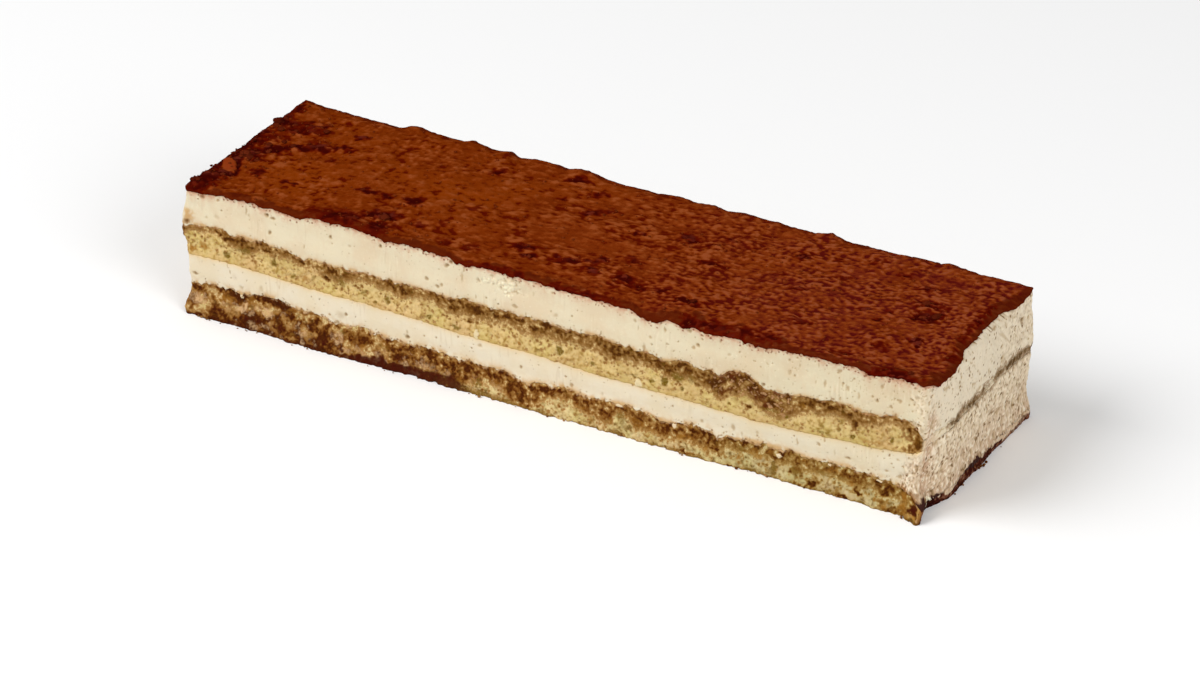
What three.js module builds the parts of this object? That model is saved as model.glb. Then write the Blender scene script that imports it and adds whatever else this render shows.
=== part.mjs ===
// A tiramisu bar: a long rectangular dessert of five layers, cut straight on three sides.
// From the bottom: soaked ladyfinger sponge, mascarpone cream, soaked ladyfinger sponge,
// a thicker bed of mascarpone cream and a crust of sifted cocoa.
// The ladyfingers lie across the bar, so each sponge layer has a row of shallow domes along X,
// and at the +X end the last ladyfinger of each row rounds off into a nose inside the cream.
//
// Millimetres. +X runs along the bar, +Y across it, +Z up. The origin is the centre of the
// bar's footprint on the surface it stands on.

import * as THREE from "three";

// ---- driving dimensions -------------------------------------------------------------------
const LENGTH = 350; // along X
const WIDTH = 96; // along Y
const HEIGHT = 60.5; // to the level of the cocoa, away from its swell and its rim
const COCOA_THICKNESS = 1.3;
const GAP = 0.3; // clearance between touching layers
const PLAN_RADIUS = 2.6; // of the four upright edges

// levels of the layer boundaries, at the left end, the middle and the right end
const SPONGE_LOW_VALLEY = [15.2, 11.6, 10.0]; // top of the lower sponge, between its domes
const SPONGE_HIGH_BASE = [28.8, 25.4, 24.6]; // underside of the upper sponge
const SPONGE_HIGH_VALLEY = [42.0, 40.0, 40.4]; // top of the upper sponge, between its domes

// ladyfingers: widths along X from the left end, and how high each one's back stands above the
// valleys between them
const FINGERS_HIGH = [24, 29, 26, 28, 24, 27, 25, 30, 20, 23, 32, 33, 29];
const FINGERS_LOW = [22, 34, 34, 27, 26, 26, 28, 34, 24, 32, 30, 33];
const DOMES_HIGH = [2.2, 1.8, 0.9, 0.9, 1.0, 2.2, 1.6, 2.3, 1.4, 2.2, 3.9, 1.8, 3.2];
const DOMES_LOW = [2.6, 4.0, 1.2, 2.6, 2.8, 1.8, 2.8, 2.5, 2.3, 3.3, 1.3, 1.7];

// the rounded nose of the last ladyfinger, at the +X end
const NOSE_LENGTH = 15;
const NOSE_LEVEL = 33.8; // height of the tip of the upper nose
const NOSE_TIP = 1.8; // half its thickness at the end face
const LOW_NOSE_TIP = 4.0; // height of the lower sponge at the end face

// unevenness
const WALL_WAVE = 0.55; // how far the cut sides wander
const TOP_WAVE = 0.4; // how far the top wanders
const TOP_TILT = 0.5; // how far the long edges of the top stand above and below its middle
const SWELL = { x: -92, reach: 30, height: 1.4 }; // a broad rise across the top
const COCOA_LUMP = 0.55; // relief of the cocoa crust
const CORNER_TUCK = 4.6; // how far the foot of the +X -Y corner is tucked in
const FOOT_SPREAD = 1.3; // how far the soaked foot of the lower sponge spreads

// mesh stations
const NX = 60; // along X

const HX = LENGTH / 2;
const HY = WIDTH / 2;

// ---- helpers ------------------------------------------------------------------------------
const clamp = (v, lo, hi) => Math.min(Math.max(v, lo), hi);
const smooth = (a, b, v) => {
  const t = clamp((v - a) / (b - a), 0, 1);
  return t * t * (3 - 2 * t);
};
// a level through three values, at the left end, the middle and the right end
const level = ([a, b, c], x) => {
  const t = clamp(x / HX, -1, 1);
  return b + ((c - a) / 2) * t + ((a + c) / 2 - b) * t * t;
};
// a slow wander made of three sines of unlike wavelengths
const wander = (s, wavelength, phase) =>
  (Math.sin((2 * Math.PI * s) / wavelength + phase) +
    0.6 * Math.sin((2 * Math.PI * s) / (wavelength * 0.437) + 2.3 * phase + 1.1) +
    0.35 * Math.sin((2 * Math.PI * s) / (wavelength * 0.193) + 4.1 * phase + 2.7)) /
  1.95;

// height of a ladyfinger's back above the valleys: flat along its middle, hollowed at the seams
function dome(widths, heights, x, y, phase) {
  const total = widths.reduce((a, b) => a + b, 0);
  const skew = 1.6 * wander(y, 70, phase); // the fingers don't lie quite square
  const at = clamp(((x + skew + HX) / LENGTH) * total, 0, total - 1e-6);
  let start = 0;
  let i = 0;
  while (i < widths.length - 1 && at >= start + widths[i]) start += widths[i++];
  const t = (2 * (at - start)) / widths[i] - 1;
  const high = heights[i] * (1 + 0.25 * wander(y, 60, phase + i));
  return high * smooth(0, 0.8, 1 - Math.abs(t));
}

// 1 over the body of a sponge layer, falling as a quarter ellipse over the nose
const noseShape = (x) => {
  const t = clamp((x - (HX - NOSE_LENGTH)) / NOSE_LENGTH, 0, 1);
  return Math.sqrt(Math.max(1 - t * t, 0));
};

// ---- the layer boundaries, as heights over the footprint ----------------------------------
const foot = () => 0;

function lowSpongeTop(x, y) {
  const full = level(SPONGE_LOW_VALLEY, x) + dome(FINGERS_LOW, DOMES_LOW, x, y, 0.7) + 0.35 * wander(y, 80, 0.4);
  const e = noseShape(x);
  return LOW_NOSE_TIP + (full - LOW_NOSE_TIP) * e;
}

const noseLevel = (y) => NOSE_LEVEL + 0.7 * wander(y, 95, 1.3);

function highSpongeBase(x, y) {
  const full = level(SPONGE_HIGH_BASE, x) + 0.45 * wander(x, 150, 2.0) + 0.3 * wander(y, 60, 0.9);
  const e = noseShape(x);
  const tip = noseLevel(y) - NOSE_TIP;
  return tip + (full - tip) * e;
}

function highSpongeTop(x, y) {
  const full = level(SPONGE_HIGH_VALLEY, x) + dome(FINGERS_HIGH, DOMES_HIGH, x, y, 2.1) + 0.35 * wander(y, 66, 2.2);
  const e = noseShape(x);
  const tip = noseLevel(y) + NOSE_TIP;
  return tip + (full - tip) * e;
}

function creamTop(x, y) {
  const edge = Math.min(HX - Math.abs(x), HY - Math.abs(y));
  const shoulder = 0.3 * (1 - smooth(0, 4, edge)); // the smoothed cream rounds off at its rim
  const wave = 0.7 * TOP_WAVE * (wander(x, 120, 0.8) + 0.6 * wander(y, 75, 1.9));
  const swell = SWELL.height * Math.exp(-(((x - SWELL.x) / SWELL.reach) ** 2));
  return HEIGHT - COCOA_THICKNESS + wave + swell - (TOP_TILT * y) / HY - shoulder;
}

function cocoaTop(x, y) {
  const lumps = COCOA_LUMP * (0.6 * wander(x + 0.4 * y, 41, 0.3) + 0.6 * wander(y - 0.3 * x, 33, 1.1));
  const leftCrust = 0.8 * (1 - smooth(-168, -138, x)); // wetter, heaped cocoa at the left end
  const thin = smooth(0, 6, Math.min(HX - Math.abs(x), HY - Math.abs(y)));
  return creamTop(x, y) + COCOA_THICKNESS * (0.72 + 0.28 * thin) + lumps * thin + leftCrust * thin;
}

// ---- the cut sides ------------------------------------------------------------------------
// moves a point of the plain block to its place on the uneven bar; the same for every layer,
// so that the sides run through from layer to layer
function shapeSides(x, y, z) {
  const ex = x / HX;
  const ey = y / HY;
  let dx = 0;
  let dy = 0;
  const face = WALL_WAVE * (0.7 * wander(z + 11, 47, 0.6) + 0.3 * Math.sin(z * 0.31 + 1));
  dy += Math.sign(ey) * Math.pow(Math.abs(ey), 3) * (WALL_WAVE * wander(x + 13 * Math.sign(ey), 130, 1.4 + ey) + face);
  dx += Math.sign(ex) * Math.pow(Math.abs(ex), 30) * (WALL_WAVE * wander(y, 61, 0.9 + 2 * ex) + face);
  // the soaked foot spreads a little
  const low = 1 - smooth(0, 12, z);
  dy += Math.sign(ey) * Math.pow(Math.abs(ey), 3) * FOOT_SPREAD * low * (0.55 + 0.45 * wander(x, 90, 3.0));
  // the foot of one corner was pushed in when the bar was lifted
  const nearEnd = smooth(HX - 14, HX, x);
  const nearFront = 1 - smooth(-HY + 4, -HY + 22, y);
  dx -= CORNER_TUCK * Math.pow(1 - clamp(z / HEIGHT, 0, 1), 1.4) * nearEnd * nearFront;
  return [x + dx, y + dy];
}

// rounds the four upright edges: the corner square of the plan goes to a quarter disc
function roundPlan(x, y) {
  const px = (Math.abs(x) - (HX - PLAN_RADIUS)) / PLAN_RADIUS;
  const py = (Math.abs(y) - (HY - PLAN_RADIUS)) / PLAN_RADIUS;
  if (px <= 0 || py <= 0) return [x, y];
  const qx = px * Math.sqrt(1 - (py * py) / 2);
  const qy = py * Math.sqrt(1 - (px * px) / 2);
  return [
    Math.sign(x) * (HX - PLAN_RADIUS + PLAN_RADIUS * qx),
    Math.sign(y) * (HY - PLAN_RADIUS + PLAN_RADIUS * qy),
  ];
}

// stations across the plan: one inside each rounded edge, the rest between them
const INNER_X = HX - PLAN_RADIUS;
const STATIONS_X = [-HX, ...Array.from({ length: NX - 1 }, (_, i) => INNER_X * ((2 * i) / (NX - 2) - 1)), HX];
const INNER_Y = HY - PLAN_RADIUS;
const STATIONS_Y = [-HY, ...[-1, -0.72, 0, 0.72, 1].map((v) => v * INNER_Y), HY];
const NY = STATIONS_Y.length - 1;

// a closed layer between two height functions: a segmented box whose vertices are moved
function layer(bottom, top, rows) {
  const g = new THREE.BoxGeometry(NX, NY, rows, NX, NY, rows);
  const p = g.attributes.position;
  for (let i = 0; i < p.count; i++) {
    const ix = Math.round(p.getX(i) + NX / 2);
    const iy = Math.round(p.getY(i) + NY / 2);
    const w = (p.getZ(i) + rows / 2) / rows;
    const x = STATIONS_X[ix];
    const y = STATIONS_Y[iy];
    const z = bottom(x, y) * (1 - w) + top(x, y) * w;
    const [rx, ry] = roundPlan(x, y);
    const [sx, sy] = shapeSides(rx, ry, z);
    p.setXYZ(i, sx, sy, z);
  }
  p.needsUpdate = true;
  turnDiagonals(g, g.groups[5]);
  g.computeVertexNormals();
  return g;
}
// cuts the underside's quads along the other diagonal, so that its facets lie parallel to
// those of the top of the layer below
function turnDiagonals(g, { start, count }) {
  const ix = g.index;
  for (let i = start; i < start + count; i += 6) {
    const [a, b, d, c] = [ix.getX(i), ix.getX(i + 1), ix.getX(i + 2), ix.getX(i + 4)];
    [a, b, c, a, c, d].forEach((v, k) => ix.setX(i + k, v));
  }
}
const above = (f) => (x, y) => f(x, y) + GAP;

// ---- the five layers ----------------------------------------------------------------------
const material = (name, color, roughness) =>
  new THREE.MeshStandardMaterial({ name, color, roughness, metalness: 0 });
const soakedSponge = material("soaked_sponge", 0xa8814a, 0.85);
const paleSponge = material("pale_sponge", 0xcbb074, 0.85);
const cream = material("cream", 0xebdcbe, 0.55);
const creamHigh = material("cream_high", 0xe9d8b8, 0.55);
const cocoa = material("cocoa", 0x7a3012, 0.95);

const parts = [
  ["sponge_lower", layer(foot, lowSpongeTop, 2), soakedSponge],
  ["cream_lower", layer(above(lowSpongeTop), highSpongeBase, 2), cream],
  ["sponge_upper", layer(above(highSpongeBase), highSpongeTop, 2), paleSponge],
  ["cream_upper", layer(above(highSpongeTop), creamTop, 2), creamHigh],
  ["cocoa_crust", layer(above(creamTop), cocoaTop, 1), cocoa],
];

const bar = new THREE.Group();
bar.name = "tiramisu_bar";
const box = new THREE.Box3();
for (const [name, geometry, look] of parts) {
  const mesh = new THREE.Mesh(geometry, look);
  mesh.name = name;
  bar.add(mesh);
  box.expandByObject(mesh);
}

// the footprint's centre is the origin
const centre = box.getCenter(new THREE.Vector3());
for (const mesh of bar.children) mesh.position.set(-centre.x, -centre.y, -box.min.z);

export default bar;
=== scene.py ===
"""Tiramisu bar: the looks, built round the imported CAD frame.

Shapes are worked out in millimetres in the bar's own frame (+X along the bar, +Y away from the
cut side that faces the viewer, +Z up) and become metres when a mesh is made. Every layer of the
bar is one dense closed mesh whose cut sides carry the real relief: crumb, air pits, drag marks
and ragged edges.
"""

import math

import bmesh
import bpy
import numpy as np
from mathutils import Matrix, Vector, geometry


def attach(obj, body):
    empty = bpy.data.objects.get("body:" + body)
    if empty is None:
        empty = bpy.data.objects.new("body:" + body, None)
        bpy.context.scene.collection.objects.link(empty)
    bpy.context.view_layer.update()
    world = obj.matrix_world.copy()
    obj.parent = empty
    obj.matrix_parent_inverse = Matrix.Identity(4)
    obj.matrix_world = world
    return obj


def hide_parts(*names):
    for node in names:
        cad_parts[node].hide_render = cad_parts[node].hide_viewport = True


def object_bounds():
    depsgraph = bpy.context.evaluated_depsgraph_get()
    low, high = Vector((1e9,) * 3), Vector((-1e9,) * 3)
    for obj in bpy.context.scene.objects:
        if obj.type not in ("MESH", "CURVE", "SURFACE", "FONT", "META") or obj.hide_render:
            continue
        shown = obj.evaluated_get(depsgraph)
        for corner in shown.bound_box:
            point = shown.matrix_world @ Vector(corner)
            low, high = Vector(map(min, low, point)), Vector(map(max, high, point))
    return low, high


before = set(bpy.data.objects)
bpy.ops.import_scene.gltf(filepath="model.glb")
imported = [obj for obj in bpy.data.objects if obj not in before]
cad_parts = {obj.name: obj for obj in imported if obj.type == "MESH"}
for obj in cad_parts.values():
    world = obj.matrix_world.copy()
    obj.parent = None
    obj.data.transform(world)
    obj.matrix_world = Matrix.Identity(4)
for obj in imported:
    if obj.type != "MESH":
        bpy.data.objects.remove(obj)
CAD_LO, CAD_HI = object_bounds()

# ---- sizes, as in the CAD source, in mm ----------------------------------------------------
LENGTH, WIDTH, HEIGHT = 350.0, 96.0, 60.5
HX, HY = LENGTH / 2, WIDTH / 2
COCOA_THICKNESS = 1.3
PLAN_RADIUS = 2.6
SPONGE_LOW_VALLEY = (15.2, 11.6, 10.0)
SPONGE_HIGH_BASE = (28.8, 25.4, 24.6)
SPONGE_HIGH_VALLEY = (42.0, 40.0, 40.4)
FINGERS_HIGH = (24, 29, 26, 28, 24, 27, 25, 30, 20, 23, 32, 33, 29)
FINGERS_LOW = (22, 34, 34, 27, 26, 26, 28, 34, 24, 32, 30, 33)
DOMES_HIGH = (2.2, 1.8, 0.9, 0.9, 1.0, 2.2, 1.6, 2.3, 1.4, 2.2, 3.9, 1.8, 3.2)
DOMES_LOW = (2.6, 4.0, 1.2, 2.6, 2.8, 1.8, 2.8, 2.5, 2.3, 3.3, 1.3, 1.7)
NOSE_LENGTH, NOSE_LEVEL, NOSE_TIP, LOW_NOSE_TIP = 15.0, 33.8, 1.8, 4.0
WALL_WAVE, TOP_WAVE, TOP_TILT, COCOA_LUMP = 0.55, 0.4, 0.5, 0.55
SWELL = (-92.0, 30.0, 1.4)
CORNER_TUCK, FOOT_SPREAD = 4.6, 1.3

# ---- fineness of the visual meshes, in mm --------------------------------------------------
WALL_STEP = 0.45  # along the cut sides
TOP_STEP = 0.62  # over the cocoa

# ---- outlines read along the bar, in mm: (x, value) -----------------------------------------
# where the cocoa ends on the cut side, as a height
FRONT_RIM = (
    (-175, 59), (-165, 59), (-155, 60.4), (-140, 60.9), (-135, 59.8), (-130, 60.8), (-118, 60),
    (-110, 61.7), (-100, 62.3), (-90, 62.3), (-80, 61.2), (-75, 60), (-66, 61.1), (-55, 60.8),
    (-45, 60.4), (-37, 58.5), (-32, 59.7), (-20, 59.6), (0, 59.8), (20, 59.3), (35, 59.1),
    (42, 59), (46, 56.6), (54, 56.6), (58, 59.1), (65, 57.5), (70, 58.5), (76, 57.1), (84, 58.4),
    (92, 58.2), (100, 57.5), (108, 59.1), (120, 59.7), (135, 60.3), (143, 60.6), (148, 58.6),
    (156, 60.1), (166, 61), (175, 60.3),
)  # fmt: skip
# the surface of the cocoa along the far edge
BACK_RIM = (
    (-175, 60.2), (-165, 58.9), (-125, 58.5), (-120, 60.9), (-115, 61.3), (-110, 60.1),
    (-100, 60.0), (-92, 60.3), (-88, 61.6), (-84, 60.6), (-80, 59.8), (-75, 59.8),
    (-70, 60.9), (-66, 58.8), (-58, 60.0), (-47, 60.0), (-42, 59.4), (-36, 60.8), (-30, 60.6),
    (-25, 59.3), (-18, 58.6), (0, 58.6), (8, 59.7), (15, 59.8), (20, 59.0), (28, 60.2),
    (35, 59.1), (43, 60.2), (52, 59.5), (58, 59.7), (65, 59.1), (75, 59.1), (83, 61.1),
    (90, 58.9), (100, 59.0), (115, 59.0), (125, 60.0), (133, 60.0), (137, 61.2), (142, 60.6),
    (150, 59.7), (160, 60.0), (175, 60.0),
)  # fmt: skip
# where the cocoa ends on the end face, as a height, along Y
END_RIM = (
    (-48, 60.4), (-45, 60.0), (-42, 58.6), (-38, 57.6), (-28, 57.4), (-25, 58.4), (-22, 60.0),
    (-19, 61.5), (26, 61.5), (29, 59.8), (34, 59.5), (38, 60.4), (48, 60.8),
)  # fmt: skip
# how deep the coffee reaches into the top of the upper sponge, on the cut side
HIGH_BAND = (
    (-175, 2.9), (-160, 2.5), (-153, 4.5), (-149, 5.7), (-143, 6.5), (-138, 5.1), (-128, 3.9),
    (-117, 3.6), (-110, 3.6), (-104, 6.4), (-96, 6.8), (-90, 4), (-80, 3.8), (-72, 4.8),
    (-66, 6.7), (-60, 4.4), (-54, 3.5), (-46, 6.6), (-40, 7.1), (-34, 7.7), (-26, 6.7),
    (-18, 5.1), (-10, 7.3), (-2, 7.9), (8, 6.4), (16, 5.4), (24, 7), (33, 8.8), (40, 6.2),
    (50, 5.8), (58, 7.5), (66, 8.2), (72, 6.4), (80, 10.7), (88, 10.9), (97, 10.3), (105, 11.3),
    (112, 11.1), (117, 7.5), (125, 6.7), (134, 6.5), (142, 6.9), (150, 4.7), (160, 2.9),
    (168, 3.2), (175, 4.6),
)  # fmt: skip
# the same for the lower sponge
LOW_BAND = (
    (-175, 20), (-60, 17), (-45, 12.5), (-38, 11), (-30, 8), (-22, 7), (-15, 11.6), (-8, 12.6),
    (-2, 8.6), (5, 5.1), (12, 5.6), (18, 7.1), (25, 8.7), (30, 9.7), (35, 3.4), (40, 6.2),
    (44, 8.8), (50, 7.2), (58, 7.2), (64, 7), (70, 8.2), (77, 8.2), (82, 5.4), (90, 5.2),
    (100, 5.4), (107, 6.2), (112, 5.6), (118, 6.6), (125, 5.6), (132, 5.2), (140, 6.2),
    (145, 6.6), (150, 5.2), (157, 6.2), (163, 5.4), (168, 6.1), (175, 7.6),
)  # fmt: skip
# heights of the sponges' edges on the cut side
HIGH_TOP = (
    (-175, 43), (-170, 43.4), (-165, 44.5), (-160, 44.8), (-154, 44.3), (-150, 42.1), (-146, 44),
    (-138, 43.7), (-130, 42.9), (-122, 43.2), (-118, 41.5), (-108, 42.2), (-100, 42),
    (-90, 42.7), (-76, 42), (-70, 42.2), (-62, 42.4), (-50, 41.9), (-42, 41.8), (-36, 43.6),
    (-30, 42.4), (-24, 42.7), (-15, 42.3), (-8, 42.3), (4, 43.1), (8, 42.1), (14, 42.5),
    (24, 43.6), (32, 42.2), (40, 41.7), (48, 41.9), (57, 40.5), (65, 42.1), (72, 40.8),
    (78, 41.4), (82, 40.6), (88, 43.6), (95, 43.9), (98, 41.5), (101, 40.7), (106, 39.5),
    (112, 40), (122, 41.2), (132, 42), (140, 42.6), (147, 41.7), (153, 40.9), (159, 43.8),
    (163, 43.9), (168, 41.8), (172, 39), (175, 35.4),
)  # fmt: skip
HIGH_BASE = (
    (-175, 28.6), (-165, 29), (-150, 29.1), (-130, 28.4), (-110, 27.9), (-90, 28.2), (-70, 27.3),
    (-58, 27.2), (-40, 26.1), (-20, 25.4), (0, 26), (25, 24.9), (40, 24.8), (60, 24.6),
    (80, 24.1), (95, 23.4), (110, 23.8), (125, 25), (140, 25.8), (150, 26.4), (160, 27.6),
    (168, 28.5), (172, 29.5), (175, 31.4),
)  # fmt: skip
LOW_TOP = (
    (-175, 14.3), (-171, 15.3), (-166, 16), (-160, 16.4), (-154, 16.5), (-148, 16.1),
    (-142, 17.2), (-136, 18.2), (-128, 17.8), (-123, 16.6), (-115, 16.1), (-108, 16.6),
    (-100, 14.9), (-95, 14.6), (-88, 15.7), (-82, 14.9), (-75, 15.1), (-70, 14.6), (-64, 13.5),
    (-54, 15.4), (-49, 15.2), (-45, 13.6), (-38, 14.2), (-28, 13.1), (-20, 14.4), (-14, 12.2),
    (-9, 11), (-4, 12.5), (3, 13.2), (10, 14.9), (16, 13.4), (22, 13), (30, 13.5), (37, 14.3),
    (45, 13.5), (50, 13.1), (58, 11.5), (64, 13.3), (72, 13.6), (77, 13.7), (81, 10.5),
    (86, 12.4), (95, 13.4), (110, 14), (125, 13.1), (138, 14.2), (150, 13), (158, 13.1),
    (163, 12.1), (167, 11.2), (170, 10), (173, 5.5), (175, 4.7),
)  # fmt: skip
# how far the cut end stands out at each height, near the cut side
LEFT_EDGE = (
    (0, 0.6), (2, 1.5), (6, 0.4), (10, -0.9), (13, -1.9), (17, -1.3), (20, -0.6), (22, -1.1),
    (27, -1.1), (30, -0.5), (35, 0.2), (37, 1.3), (40, 1.5), (45, 0.9), (50, 0.3), (55, -0.8),
    (60, -1.4),
)  # fmt: skip
# how far the far corner of the nose end stands out at each height
FAR_EDGE = (
    (0, 0.4), (4, 0.4), (9, -0.6), (15, -0.9), (20, -0.7), (25, -0.4), (32, 0.3), (35, 1.3),
    (37, 1.1), (40, 0.2), (50, -0.2), (57, 0.0), (60, -0.4),
)  # fmt: skip
# height of the dark soaked foot on the nose end, along Y; where it rises next to the front corner it is painted shadow
END_FOOT = (
    (-48, 9.8), (-43, 8.0), (-38, 5.4), (-31, 3.8), (-26, 2.0), (-21, 3.8), (-14, 5.0), (-8, 6.4),
    (-2, 5.8), (3, 3.0), (8, 3.6), (15, 3.2), (20, 1.8), (26, 1.2), (32, 1.4), (38, 2.2),
    (44, 2.6), (48, 3.0),
)  # fmt: skip

# ---- spots on the cut side: x, z, half width, half height, strength --------------------------
HIGH_OLIVE = (
    (-145, 38.0, 3.4, 2.4, 0.55), (-154, 33.2, 1.8, 1.4, 0.8), (-130, 35.6, 1.5, 2.1, 0.8),
    (-121, 32.0, 1.2, 1.8, 0.6), (-96, 35.8, 2.4, 2.2, 0.5), (-86, 34.0, 2.2, 1.1, 0.5),
    (-74, 33.2, 1.3, 2.3, 0.6), (-80, 30.8, 1.0, 1.0, 0.6), (-54, 30.6, 1.5, 1.3, 0.8),
    (-41, 29.2, 2.0, 1.1, 0.6), (8, 31.8, 1.5, 2.5, 1.0), (24, 30.2, 1.0, 0.9, 0.6),
    (57, 31.0, 1.6, 1.9, 0.9), (51, 30.0, 1.0, 1.0, 0.7), (65, 30.0, 1.0, 1.4, 0.7),
    (63, 34.5, 3.4, 2.0, 0.6), (69, 35.0, 2.6, 2.4, 0.4), (86, 28.6, 0.9, 1.2, 0.7),
    (136, 30.8, 1.0, 1.4, 0.5), (142.5, 35.2, 1.5, 3.4, 0.5), (141.5, 29.4, 0.8, 0.9, 0.8),
    (159, 32.6, 1.1, 1.3, 0.7), (128, 27.4, 1.2, 0.9, 0.5), (-110, 34.2, 1.2, 0.9, 0.4),
    (104, 31.0, 6.0, 1.3, 0.5), (112, 30.2, 1.1, 1.0, 0.8), (43, 29.6, 4.2, 0.7, 0.5),
)  # fmt: skip
HIGH_DARK = (
    (-158, 43.2, 2.4, 1.0, 0.8), (-153, 41.4, 1.5, 1.4, 0.9), (-145.5, 41.5, 1.6, 2.6, 0.9),
    (-138, 42.6, 1.2, 1.3, 0.8), (-133, 41.0, 3.2, 1.0, 0.7), (-124, 42.2, 2.0, 1.0, 0.6),
    (-115.5, 40.3, 1.3, 1.3, 0.8), (-104, 36.2, 1.6, 1.1, 0.9), (-100, 40.2, 3.2, 1.2, 0.8),
    (-72, 41.2, 1.4, 1.5, 0.8), (-66, 38.4, 2.6, 1.6, 0.8), (-62, 41.2, 1.8, 1.2, 0.6),
    (-42, 38.0, 3.0, 2.0, 0.7), (-33, 40.6, 4.2, 2.2, 0.75), (-36, 43.4, 0.9, 0.9, 0.8), (-30, 39.2, 3.5, 1.5, 0.8),
    (-22, 40.0, 1.9, 1.2, 1.0), (-17, 40.9, 1.7, 1.3, 1.0), (-13, 38.6, 1.3, 1.2, 0.6),
    (-4, 38.6, 3.0, 1.6, 0.7), (2.5, 42.4, 2.4, 1.5, 0.9), (9, 38.4, 1.2, 1.4, 0.8),
    (18, 41.2, 4.0, 1.1, 0.6), (34, 38.8, 4.0, 2.4, 0.7), (33, 36.0, 2.0, 1.4, 0.6),
    (45, 40.8, 1.4, 1.3, 1.0), (40.5, 40.2, 1.0, 1.2, 0.8), (53, 40.0, 2.6, 0.7, 0.9), (51, 37.6, 0.9, 0.9, 0.8),
    (64, 41.4, 2.0, 1.0, 0.7), (80, 36.2, 3.0, 3.6, 0.8), (88, 40.6, 5.0, 2.6, 0.7), (92.5, 42.6, 4.0, 2.0, 1.0), (97.5, 40.0, 1.8, 2.4, 0.9),
    (96, 38.0, 4.0, 2.4, 0.6), (105, 34.0, 4.0, 2.2, 0.8), (112.5, 39.2, 2.2, 1.6, 0.9),
    (131.6, 39.4, 1.7, 1.5, 1.0), (142.4, 35.6, 1.3, 3.6, 0.72), (124, 39.8, 1.6, 0.8, 0.6), (95, 29.8, 0.8, 0.9, 0.8),
    (-35, 33.6, 0.8, 0.8, 0.7), (162, 43.0, 2.4, 0.7, 0.7), (171, 33.4, 1.2, 1.6, 0.8),
)  # fmt: skip
HIGH_OCHRE = (
    (-165, 35.0, 2.0, 2.2, 1.0), (-172, 32.2, 2.8, 1.6, 1.0), (-115, 32.4, 2.2, 0.9, 0.7),
    (-122, 31.6, 2.6, 0.8, 0.4), (-12, 30.4, 2.4, 1.0, 0.6), (150, 29.6, 6.5, 1.2, 0.6),
    (120, 37.0, 3.4, 1.3, 0.5), (170.5, 35.0, 2.2, 4.2, 0.35), (107, 26.0, 2.6, 0.8, 0.5),
    (-172, 45.0, 3.6, 1.6, 0.8), (-86, 38.4, 3.0, 0.9, 0.3), (-44, 30.6, 4.0, 1.4, 0.3),
)  # fmt: skip
LOW_DARK = (
    (173.0, 8.4, 1.8, 1.9, 1.0),
    (-169, 14.0, 4.0, 1.4, 0.8), (-157, 15.8, 4.0, 1.2, 0.9), (-160, 6.0, 3.6, 3.4, 0.72),
    (-150, 15.4, 3.6, 0.9, 0.8), (-151, 12.6, 2.2, 1.6, 0.6), (-140, 16.6, 4.0, 1.0, 0.9),
    (-133, 16.6, 4.0, 1.6, 1.0), (-127, 17.6, 1.4, 1.2, 0.9), (-144, 5.6, 4.0, 1.8, 0.9),
    (-139, 6.4, 1.8, 2.6, 0.9), (-128, 5.0, 4.2, 2.6, 0.78), (-122, 12.0, 1.6, 1.4, 0.8),
    (-117, 11.0, 1.4, 2.0, 0.6), (-112, 9.6, 1.6, 2.6, 0.8), (-106, 5.4, 3.0, 3.0, 1.0),
    (-109, 14.0, 2.4, 2.0, 0.7), (-97, 3.8, 2.0, 1.2, 0.8), (-93, 11.4, 1.4, 2.2, 0.8),
    (-99, 14.0, 1.6, 1.2, 0.7), (-86, 11.0, 4.0, 2.6, 0.7), (-70, 7.4, 3.0, 3.0, 0.8),
    (-73, 14.0, 3.0, 1.0, 0.7), (-62, 12.6, 3.4, 2.0, 0.5), (-54, 12.4, 2.6, 2.4, 0.8),
    (-48, 9.8, 1.8, 1.8, 0.6), (-43, 9.0, 1.1, 5.2, 0.9), (-37, 11.6, 4.0, 2.0, 0.8),
    (-37, 6.6, 1.8, 1.6, 0.7), (-23, 11.6, 1.4, 1.4, 0.9), (-20, 14.4, 2.0, 0.8, 0.8),
    (-13, 10.0, 3.6, 3.4, 0.62), (-9.5, 5.4, 1.8, 3.8, 0.9), (-3, 7.6, 2.0, 3.0, 0.6),
    (2, 11.8, 4.4, 1.3, 0.9), (8, 13.0, 1.4, 1.2, 0.8), (21, 11.6, 2.2, 1.6, 0.8),
    (30, 8.0, 3.0, 3.2, 0.64), (45, 11.0, 3.4, 2.0, 0.5), (59, 10.0, 1.4, 2.2, 0.9),
    (54, 9.6, 3.0, 2.0, 0.6), (63.5, 12.6, 1.8, 0.9, 0.9), (71, 11.6, 3.4, 1.8, 0.8),
    (75, 7.2, 2.0, 1.4, 0.5), (81, 6.2, 1.6, 1.4, 0.9), (98, 12.4, 1.2, 0.8, 0.7),
    (124, 3.0, 1.8, 1.7, 1.0), (118, 7.6, 2.4, 2.0, 0.5), (145, 4.8, 1.5, 1.5, 1.0),
    (142, 9.0, 1.4, 2.2, 0.6), (157, 8.4, 2.4, 1.5, 0.9), (154, 11.0, 2.2, 1.0, 0.6),
    (138, 1.0, 4.0, 1.2, 0.9), (171, 5.0, 2.4, 2.0, 1.0), (115, 6.0, 0.8, 1.8, 0.6),
    (86, 0.4, 2.4, 0.8, 0.9), (160, 2.0, 5.0, 1.2, 0.6), (67, 1.4, 5.0, 0.6, 0.7),
)  # fmt: skip
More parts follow.
